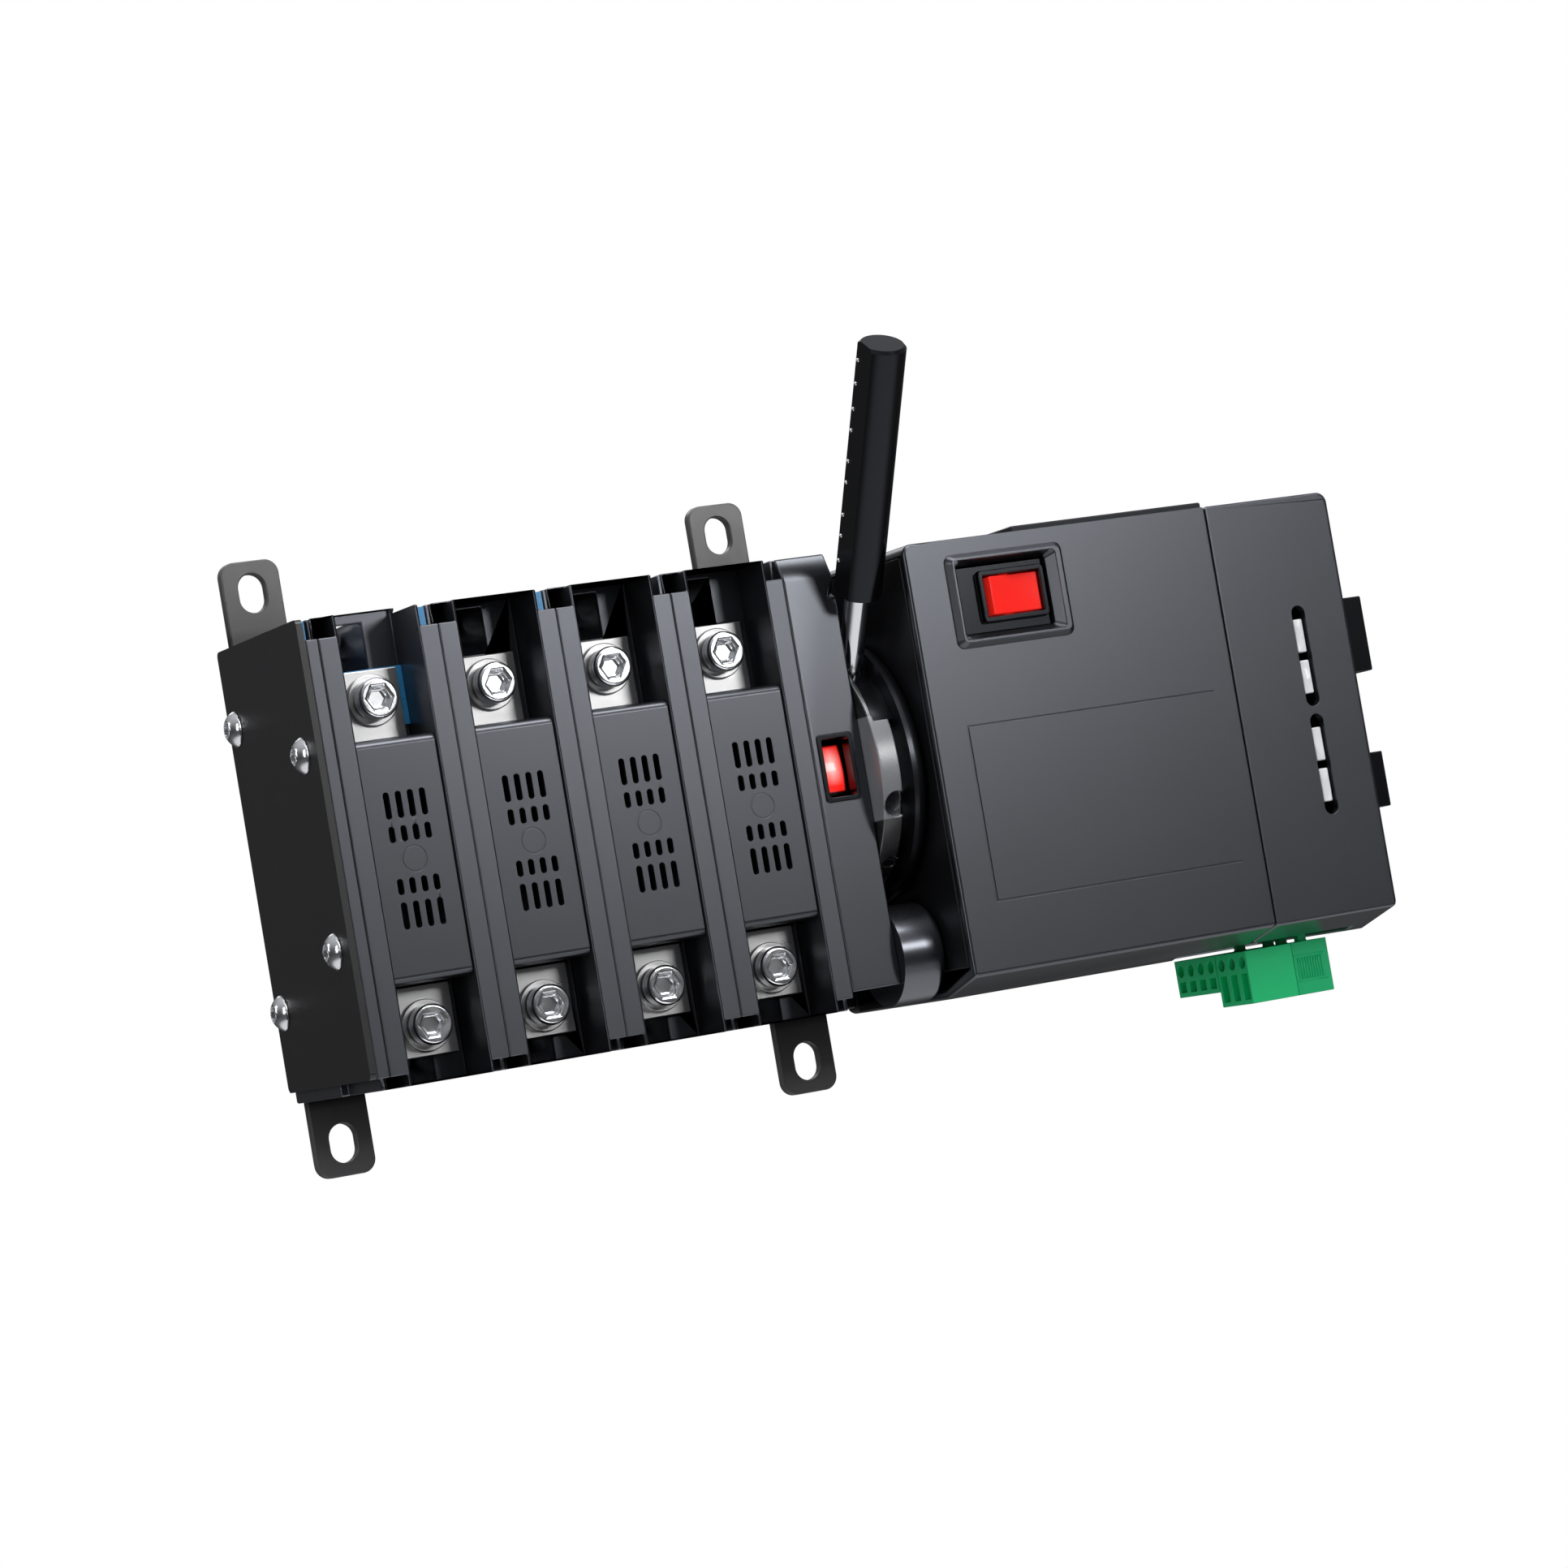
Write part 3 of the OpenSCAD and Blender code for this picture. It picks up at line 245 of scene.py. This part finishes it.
def painted(name, color, rough=0.36, painted_bend_shading=None):
    """Powder-coated sheet steel with orange peel. An optional set of three heights in metres, above and below
    the middle, adds painted shade from the first to the second, then a painted highlight brightening it to the
    third."""
    m = Mat(name, color, rough, IOR=1.65)
    m.bump(m.noise(620, 1.0), 0.03, 0.00006)
    m.bump(m.noise(2400, 1.0), 0.05, 0.00003)
    m.mix(m.remap(m.noise(22, 3.0), 0.4, 0.7, 0.0, 0.5), shade(color, 1.2))
    if painted_bend_shading:
        from_middle = m.distance("Z")
        # painted highlight: brighter from the second height out towards the tips
        m.mix(m.remap(from_middle, painted_bend_shading[1], painted_bend_shading[2], 0.0, 0.8), shade(color, 2.6))
        # painted shade: a dark band from the first height to the second, where the ear is bent
        m.mix(m.remap(from_middle, painted_bend_shading[0], painted_bend_shading[1], 0.95, 0.0), (0.0012, 0.0012, 0.0014))
    m.mix(m.remap(m.noise(120, 6.0, (1, 1, 12), 0.7, 1.0), 0.72, 0.76, 0.0, 0.10), (0.10, 0.10, 0.105))
    m.vary_rough(m.noise(180, 4.0), 0.03)
    return m.m


def metal(name, color, rough=0.2, grain=0.5, stretch=(1, 1, 1), dirt=0.3, tint=(0.30, 0.29, 0.28)):
    """Plated or bare metal: tool marks along one direction, handling stains and dull patches."""
    m = Mat(name, color, rough, 1.0)
    m.bump(m.noise(1500, 3.0, stretch), grain * 0.35, 0.00002)
    m.mix(m.remap(m.noise(70, 5.0, distort=0.5), 0.52, 0.75, 0.0, dirt), tint)
    m.mix(m.remap(m.noise(2400, 2.0, stretch), 0.58, 0.8, 0.0, dirt * 0.4), shade(color, 0.6))
    m.vary_rough(m.noise(260, 4.0, stretch), min(0.06, rough * 0.4))
    return m.m


def gloss(name, color, rough=0.16, **sockets):
    """Polished coloured plastic with a clear skin, hairline rubs and a little dust."""
    m = Mat(name, color, rough, IOR=1.5, Coat_Weight=0.6, Coat_Roughness=0.08, **sockets)
    m.bump(m.noise(260, 2.0), 0.10, 0.00008)
    m.bump(m.noise(1800, 5.0, (1, 1, 9)), 0.10, 0.00002)
    m.mix(m.remap(m.noise(120, 5.0), 0.42, 0.7, 0.0, 0.5), shade(color, 0.78))
    m.mix(m.remap(m.noise(1300, 1.0), 0.72, 0.79, 0.0, 0.3), shade(color, 1.3, 0.08))
    m.vary_rough(m.noise(200, 5.0), 0.05)
    return m.m


def hub_look(name):
    """Black moulded rim with a bright machined face where the clamp sits."""
    m = Mat(name, (0.23, 0.235, 0.25), 0.28, IOR=2.0)
    m.bump(m.noise(2600, 1.0, rough=0.5), 0.04, 0.00002)
    m.mix(m.remap(m.along("Z", 0.0, 12.6, 0.15), 0.0, 1.0, 1.0, 0.0), (0.009, 0.009, 0.011))
    m.mix(m.remap(m.noise(90, 3.0), 0.45, 0.75, 0.0, 0.35), (0.12, 0.12, 0.125))
    m.vary_rough(m.noise(60, 2.0), 0.01)
    return m.m


def flag_look(name, color, glow, pale, x, z):
    """Painted patch on a black drum segment. The patch glows with painted light and has a painted highlight in
    its middle.
    """
    m = Mat(name, color, 0.2, IOR=1.5, Coat_Weight=0.6, Coat_Roughness=0.08)
    m.bump(m.noise(260, 1.0), 0.05, 0.00005)
    m.mix(m.remap(m.noise(120, 3.0), 0.42, 0.7, 0.0, 0.4), shade(color, 0.78))
    patch = m.both(m.along("X", x, 3.0, 0.25), m.along("Z", z, 5.5, 0.25))
    m.mix(m.remap(patch, 0.0, 1.0, 1.0, 0.0), (0.004, 0.003, 0.003))
    # painted highlight: a pale spot near the middle of the patch
    middle = m.both(m.along("X", x + 0.4, 1.5, 1.2), m.along("Z", z + 0.6, 3.2, 1.6))
    # painted light: the glow colour, turning pale at the painted highlight
    painted_glow_color = m.node("Mix")
    painted_glow_color.data_type = "RGBA"
    m.link(m.remap(middle, 0.0, 1.0, 0.0, 0.8), painted_glow_color.inputs[0])
    painted_glow_color.inputs[6].default_value = (*glow, 1.0)
    painted_glow_color.inputs[7].default_value = (*pale, 1.0)
    m.link(painted_glow_color.outputs[2], m.b.inputs["Emission Color"])
    # painted light: the patch glows, the black border does not
    m.link(m.remap(patch, 0.0, 1.0, 0.0, 0.75), m.b.inputs["Emission Strength"])
    m.vary_rough(m.noise(200, 2.0), 0.02)
    return m.m


def translucent(name, color, rough, weight, facets=0.0):
    """Insulating film or light guide: milky, with flow lines."""
    m = Mat(name, color, rough, IOR=1.49, Subsurface_Weight=weight, Subsurface_Scale=1.0,
            Subsurface_Radius=(0.0012, 0.0012, 0.0012))
    m.bump(m.noise(700, 3.0, (1, 1, 0.2)), 0.22, 0.00006)
    if facets:
        m.bump(m.voronoi(520, (1, 1, 0.4)), facets, 0.0006)
    m.mix(m.remap(m.noise(60, 4.0, (1, 1, 0.35)), 0.4, 0.7, 0.0, 0.6), shade(color, 1.25, 0.02))
    m.mix(m.remap(m.noise(900, 2.0), 0.6, 0.8, 0.0, 0.3), shade(color, 0.6))
    m.vary_rough(m.noise(240, 4.0), 0.06)
    return m.m


def board(name):
    """Circuit board: solder mask over copper tracks, pads and bare laminate flecks."""
    m = Mat(name, (0.012, 0.085, 0.035), 0.3, IOR=1.5, Coat_Weight=0.4, Coat_Roughness=0.12)
    tracks = m.node("TexBrick", Scale=180.0)
    tracks.inputs["Mortar Size"].default_value = 0.07
    m.link(m.space(), tracks.inputs["Vector"])
    m.mix(m.remap(tracks.outputs["Fac"], 0.2, 0.8, 0.0, 0.8), (0.05, 0.20, 0.07))
    pads = m.remap(m.voronoi(330), 0.10, 0.16, 1.0, 0.0)
    m.mix(pads, (0.55, 0.53, 0.47))
    m.bump(tracks.outputs["Fac"], 0.4, 0.00006)
    m.bump(m.noise(1500, 2.0), 0.2, 0.00004)
    m.vary_rough(m.noise(400, 4.0), 0.08)
    return m.m


def lamination(name):
    """Varnished transformer core and winding: stacked sheets and stained varnish."""
    m = Mat(name, (0.075, 0.045, 0.018), 0.38, IOR=1.5, Coat_Weight=0.3, Coat_Roughness=0.2)
    wave = m.node("TexWave", Scale=620.0, Distortion=0.4)
    wave.bands_direction = "X"
    m.link(m.space(), wave.inputs["Vector"])
    m.bump(wave.outputs["Fac"], 0.6, 0.00012)
    m.mix(m.remap(wave.outputs["Fac"], 0.3, 0.9, 0.0, 0.6), (0.20, 0.12, 0.05))
    m.mix(m.remap(m.noise(110, 5.0), 0.45, 0.7, 0.0, 0.7), (0.03, 0.016, 0.006))
    m.vary_rough(m.noise(260, 4.0), 0.1)
    return m.m


# ------------------------------------------------------------------ materials
# middle of the position window, X and Z in millimetres
WINDOW = (54.3, 1.75)
M = {
    "housing": plastic("housing_plastic", (0.0125, 0.0129, 0.0155), 0.31, 1.0, 2.2),
    "cover": plastic("cover_plastic", (0.0075, 0.0078, 0.0092), 0.30, 0.9, 2.05),
    "case": plastic("case_plastic", (0.0075, 0.0078, 0.0092), 0.30, 0.9, 2.2),
    "mech": plastic("mechanism_plastic", (0.0085, 0.0088, 0.0103), 0.28, 0.9, 2.15),
    "rear": plastic("rear_plastic", (0.0060, 0.0060, 0.0070), 0.42, 1.1, 1.5),
    "black": plastic("black_plastic", (0.0025, 0.0025, 0.0030), 0.20, 0.5, 1.45),
    "motor": plastic("motor_plastic", (0.013, 0.013, 0.016), 0.24, 0.6, 2.5),
    "carrier": plastic("carrier_plastic", (0.010, 0.009, 0.008), 0.45, 1.3, 1.5),
    "grip": plastic("grip_rubber", (0.0026, 0.0026, 0.0034), 0.20, 0.45, 1.45),
    "sheet": painted("painted_sheet", (0.0115, 0.0118, 0.0135), 0.34),
    # straps: painted shade where the ears are bent, and a painted highlight towards the ear tips
    "strap": painted("painted_strap", (0.0360, 0.0360, 0.0370), 0.30, (0.0570, 0.0592, 0.0740)),
    "chrome": metal("chrome", (0.84, 0.85, 0.87), 0.17, 0.25, (1, 1, 1), 0.15),
    "rod": metal("rod_chrome", (0.88, 0.89, 0.91), 0.13, 0.2, (1, 1, 0.2), 0.1),
    "nickel": metal("nickel_bar", (0.66, 0.66, 0.66), 0.31, 0.6, (0.15, 1, 1), 0.25),
    "zinc": metal("zinc_plate", (0.52, 0.53, 0.55), 0.34, 0.6, (1, 1, 1), 0.35, (0.36, 0.34, 0.27)),
    "hub": hub_look("satin_hub"),
    "disc": plastic("disc_plastic", (0.0045, 0.0045, 0.0055), 0.28, 0.4, 1.8),
    "steel": metal("ground_steel", (0.46, 0.47, 0.49), 0.26, 0.7, (0.2, 1, 1), 0.3),
    "brass": metal("brass", (0.62, 0.43, 0.17), 0.27, 0.5, (1, 1, 1), 0.3, (0.24, 0.14, 0.05)),
    "copper": metal("contact_copper", (0.72, 0.36, 0.22), 0.30, 0.5, (1, 1, 1), 0.35, (0.25, 0.10, 0.05)),
    # the rocker glows red: painted light that brightens its colour
    "red": gloss("rocker_red", (0.90, 0.010, 0.006), 0.2, Emission_Color=(1, 0.03, 0.02, 1),
                 Emission_Strength=0.25),
    # red flag: colours of its painted glow and of its pale painted highlight
    "flag_red": flag_look("flag_red", (0.88, 0.012, 0.008), (1, 0.02, 0.015), (1, 0.72, 0.68), *WINDOW),
    "flag_green": gloss("flag_green", (0.02, 0.40, 0.10), 0.25),
    "plug": plastic("connector_green", (0.008, 0.74, 0.240), 0.34, 0.8, 1.5),
    "header": plastic("header_green", (0.006, 0.60, 0.205), 0.34, 0.8, 1.5),
    "light": translucent("light_guide", (0.80, 0.81, 0.83), 0.14, 0.2, 0.55),
    "blue": translucent("insulating_film", (0.030, 0.24, 0.50), 0.28, 0.15),
    "board": board("circuit_board"),
    "core": lamination("laminated_core"),
}

NODE_LOOK = {
    "housing": ["pole_housing_1", "pole_housing_2", "pole_housing_3", "pole_housing_4", "end_barrier"],
    "cover": ["pole_covers"],
    "case": ["control_cover", "module_cover", "selector_bezel"],
    "mech": ["mechanism_housing", "mechanism_cover"],
    "rear": ["base_plate", "control_base"],
    "black": ["indicator_window", "indicator_drum", "selector_body", "upper_side_socket", "lower_side_socket",
              "lever_clamp_block", "control_relays"],
    "motor": ["drive_motor"],
    "carrier": ["contact_carriers"],
    "grip": ["handle_grip"],
    "sheet": ["left_end_plate"],
    "strap": ["left_mounting_strap", "right_mounting_strap"],
    "chrome": ["end_plate_screws", "front_terminal_screws", "rear_terminal_screws"],
    "rod": ["handle_rod"],
    "nickel": ["upper_line_terminals", "lower_line_terminals", "load_bars", "terminal_washers"],
    "zinc": ["arc_chute_plates", "gear_bracket", "gear_bracket_screws", "strap_screws", "control_base_screws",
             "plug_screws"],
    "hub": ["handle_hub"],
    "disc": ["drive_disc"],
    "steel": ["main_shaft", "motor_shaft", "drive_gear", "hub_set_screw"],
    "brass": ["motor_pinion"],
    "copper": ["moving_contacts"],
    "red": ["selector_rocker"],
    "flag_red": ["indicator_flag_red"],
    "flag_green": ["indicator_flag_green"],
    "plug": ["front_plug", "rear_plug"],
    "header": ["terminal_headers"],
    "light": ["indicator_light_pipes"],
    "blue": ["neutral_insulators", "barrier_slot_strips"],
    "board": ["control_board", "terminal_board"],
    "core": ["supply_transformer"],
}
for look, names in NODE_LOOK.items():
    for name in names:
        obj = nodes[name]
        for slot in obj.material_slots:
            slot.material = M[look]
        if not obj.material_slots:
            obj.data.materials.append(M[look])

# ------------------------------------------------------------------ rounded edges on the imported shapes
# radius in millimetres
BEVEL = {
    "pole_housing_1": 0.4, "pole_housing_2": 0.4, "pole_housing_3": 0.4, "pole_housing_4": 0.4,
    "end_barrier": 0.4, "pole_covers": 0.05, "control_cover": 0.9, "module_cover": 0.9, "selector_bezel": 0.15,
    "mechanism_housing": 0.4, "mechanism_cover": 0.5, "left_mounting_strap": 0.35, "right_mounting_strap": 0.35,
    "handle_hub": 0.4, "selector_rocker": 0.35, "selector_body": 0.25,
    "front_plug": 0.2, "rear_plug": 0.2, "terminal_headers": 0.25, "front_terminal_screws": 0.85,
    "rear_terminal_screws": 0.5, "terminal_washers": 0.3,
    "upper_line_terminals": 0.35, "lower_line_terminals": 0.35,
    "load_bars": 0.35, "indicator_light_pipes": 0.35, "upper_side_socket": 0.4, "lower_side_socket": 0.4,
    "indicator_window": 0.2, "control_base": 0.5, "base_plate": 0.5, "end_plate_screws": 0.2,
    "gear_bracket": 0.3, "supply_transformer": 0.6, "control_relays": 0.5, "indicator_flag_red": 0.15,
    "indicator_flag_green": 0.15, "drive_gear": 0.1, "motor_pinion": 0.1, "neutral_insulators": 0.2,
}
# On these, only edges outside the given X and Z spans, in millimetres, get the full radius.
# The edges of openings and engraved lines, inside the spans, get a small share of it.
OUTER = {"control_cover": (78.0, 400.0, -49.0, 48.0), "module_cover": (-400.0, 190.0, -49.0, 48.0),
         "mechanism_cover": (49.2, 59.6, -9.0, 12.0)}
INSIDE_SHARE = 0.12
SHARP_EDGE = math.radians(38)
FLAT_ENOUGH = math.radians(0.6)
WELD_REACH = 0.00001


def edge_weights(span):
    """Geometry nodes that store the bevel weight of each edge from where it lies."""
    g = bpy.data.node_groups.new("edge_weights", "GeometryNodeTree")
    g.interface.new_socket("Geometry", in_out="INPUT", socket_type="NodeSocketGeometry")
    g.interface.new_socket("Geometry", in_out="OUTPUT", socket_type="NodeSocketGeometry")
    new, link = g.nodes.new, g.links.new
    enter, leave = new("NodeGroupInput"), new("NodeGroupOutput")
    split = new("ShaderNodeSeparateXYZ")
    link(new("GeometryNodeInputPosition").outputs[0], split.inputs[0])

    def math_node(op, a, b):
        n = new("ShaderNodeMath")
        n.operation = op
        for socket, value in zip(n.inputs, (a, b)):
            if isinstance(value, float):
                socket.default_value = value
            else:
                link(value, socket)
        return n.outputs[0]

    def between(value, lo, hi):
        above = math_node("GREATER_THAN", value, lo * MM)
        return math_node("MULTIPLY", above, math_node("LESS_THAN", value, hi * MM))

    x0, x1, z0, z1 = span
    inside = math_node("MULTIPLY", between(split.outputs["X"], x0, x1), between(split.outputs["Z"], z0, z1))
    weight = math_node("SUBTRACT", 1.0, math_node("MULTIPLY", inside, 1.0 - INSIDE_SHARE))
    angle = new("GeometryNodeInputMeshEdgeAngle")
    sharp = math_node("GREATER_THAN", angle.outputs["Unsigned Angle"], SHARP_EDGE)
    store = new("GeometryNodeStoreNamedAttribute")
    store.data_type = "FLOAT"
    store.domain = "EDGE"
    store.inputs["Name"].default_value = "bevel_weight_edge"
    link(enter.outputs[0], store.inputs["Geometry"])
    link(math_node("MULTIPLY", weight, sharp), store.inputs["Value"])
    link(store.outputs[0], leave.inputs[0])
    return g


for name, width in BEVEL.items():
    obj = nodes[name]
    weld = obj.modifiers.new("join", "WELD")
    weld.merge_threshold = WELD_REACH
    flat = obj.modifiers.new("flatten", "DECIMATE")
    flat.decimate_type = "DISSOLVE"
    flat.angle_limit = FLAT_ENOUGH
    if name in OUTER:
        weights = obj.modifiers.new("weights", "NODES")
        weights.node_group = edge_weights(OUTER[name])
    bev = obj.modifiers.new("soften", "BEVEL")
    bev.width = width * MM
    bev.segments = 3
    bev.limit_method = "WEIGHT" if name in OUTER else "ANGLE"
    bev.angle_limit = SHARP_EDGE
    bev.use_clamp_overlap = False
    bev.miter_outer = "MITER_SHARP"
    bev.face_strength_mode = "FSTR_ALL"
    wn = obj.modifiers.new("even", "WEIGHTED_NORMAL")
    wn.keep_sharp = False
    wn.use_face_influence = True

# ------------------------------------------------------------------ added detail
HANDLE_ANGLE = math.radians(57.5)
SHAFT = Vector((65.3, -44.0, 0.5)) * MM
LEVER = Vector((0, -math.cos(HANDLE_ANGLE), math.sin(HANDLE_ANGLE)))
LEVER_BACK = Vector((0, math.sin(HANDLE_ANGLE), math.cos(HANDLE_ANGLE)))


def piece(name, bm, material, body):
    mesh = bpy.data.meshes.new(name)
    bm.to_mesh(mesh)
    bm.free()
    for poly in mesh.polygons:
        poly.use_smooth = True
    mesh.materials.append(material)
    obj = bpy.data.objects.new(name, mesh)
    scene.collection.objects.link(obj)
    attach(obj, body)


def lathe(bm, centre, axis, profile, sides):
    """Turns a profile of (radius, height) pairs about an axis; the last radius may be 0."""
    q = axis.normalized().to_track_quat("Z", "Y").to_matrix()
    rings = []
    for radius, height in profile:
        if radius == 0:
            rings.append([bm.verts.new(centre + q @ Vector((0, 0, height)))])
            continue
        turns = [math.tau * k / sides for k in range(sides)]
        rings.append([bm.verts.new(centre + q @ Vector((radius * math.cos(a), radius * math.sin(a), height)))
                      for a in turns])
    for a, b in zip(rings, rings[1:]):
        for k in range(sides):
            j = (k + 1) % sides
            if len(b) == 1:
                bm.faces.new((a[k], a[j], b[0]))
            else:
                bm.faces.new((a[k], a[j], b[j], b[k]))


def rounded_bar(bm, lo, hi, c):
    """A bar between two corners whose front (-Y) edges are chamfered by c."""
    x0, y0, z0 = lo
    x1, y1, z1 = hi

    def ring(y, inset):
        left, right, low, high = x0 + inset, x1 - inset, z0 + inset, z1 - inset
        return [bm.verts.new(v) for v in ((left, y, low), (right, y, low), (right, y, high), (left, y, high))]

    back, mid, top = ring(y1, 0), ring(y0 + c, 0), ring(y0, c)
    for a, b in ((back, mid), (mid, top)):
        for k in range(4):
            j = (k + 1) % 4
            bm.faces.new((a[k], a[j], b[j], b[k]))
    bm.faces.new(top)
    bm.faces.new(list(reversed(back)))


# pins along the flat of the grip: distances from the shaft, and the outline of one pin, in millimetres
PIN_AT = (58.0, 64.5, 70.0, 78.5, 84.0, 92.0, 97.5, 104.0, 110.0)
PIN_OUTLINE = ((0.55, -0.05), (0.55, 0.10), (0.46, 0.24), (0.26, 0.33), (0, 0.36))
PIN_BACK = 2.75
GRIP_FLAT = -4.62
PIN_SIDES = 14
bm = bmesh.new()
outline = [(radius * MM, height * MM) for radius, height in PIN_OUTLINE]
for t in PIN_AT:
    foot = SHAFT + LEVER * t * MM + LEVER_BACK * PIN_BACK * MM + Vector((GRIP_FLAT, 0, 0)) * MM
    lathe(bm, foot, Vector((-1, 0, 0)), outline, PIN_SIDES)
piece("grip_pins", bm, M["rod"], "handle")

# ribbed grip patch and latch marks on the front terminal header
h_lo, h_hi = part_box("terminal_headers")
bm = bmesh.new()
px0, px1 = h_hi[0] - 9.6 * MM, h_hi[0] - 2.0 * MM
pz0, pz1 = h_hi[2] - 12.6 * MM, h_hi[2] - 7.2 * MM
face_y = h_lo[1]
RIBS = 10
for k in range(RIBS):
    x = px0 + (px1 - px0) * (k + 0.5) / RIBS
    rounded_bar(bm, (x - 0.24 * MM, face_y - 0.26 * MM, pz0),
                (x + 0.24 * MM, face_y + 0.05 * MM, pz1), 0.12 * MM)
for z in (pz0 - 0.7 * MM, pz1 + 0.35 * MM):
    rounded_bar(bm, (px0 - 0.5 * MM, face_y - 0.20 * MM, z),
                (px1 + 0.5 * MM, face_y + 0.05 * MM, z + 0.35 * MM), 0.1 * MM)
piece("header_ribs", bm, M["header"], "switch_body")

# ------------------------------------------------------------------ floor
floor_mesh = bpy.data.meshes.new("floor")
REACH = 9
DROP = -0.3
corners = [(x * REACH, y * REACH, DROP) for x, y in ((-1, -1), (1, -1), (1, 1), (-1, 1))]
floor_mesh.from_pydata(corners, [], [(0, 1, 2, 3)])
floor = bpy.data.objects.new("floor", floor_mesh)
scene.collection.objects.link(floor)
fm = Mat("pale_floor", (0.62, 0.62, 0.63), 0.9)
glow = fm.node("Emission", Strength=1.0)
f_path = fm.node("LightPath")
f_mix = fm.node("MixShader")
fm.link(f_path.outputs["Is Camera Ray"], f_mix.inputs[0])
fm.link(fm.b.outputs[0], f_mix.inputs[1])
fm.link(glow.outputs[0], f_mix.inputs[2])
fm.link(f_mix.outputs[0], fm.nt.nodes["Material Output"].inputs["Surface"])
floor_mesh.materials.append(fm.m)
floor.visible_glossy = False
floor.visible_diffuse = False
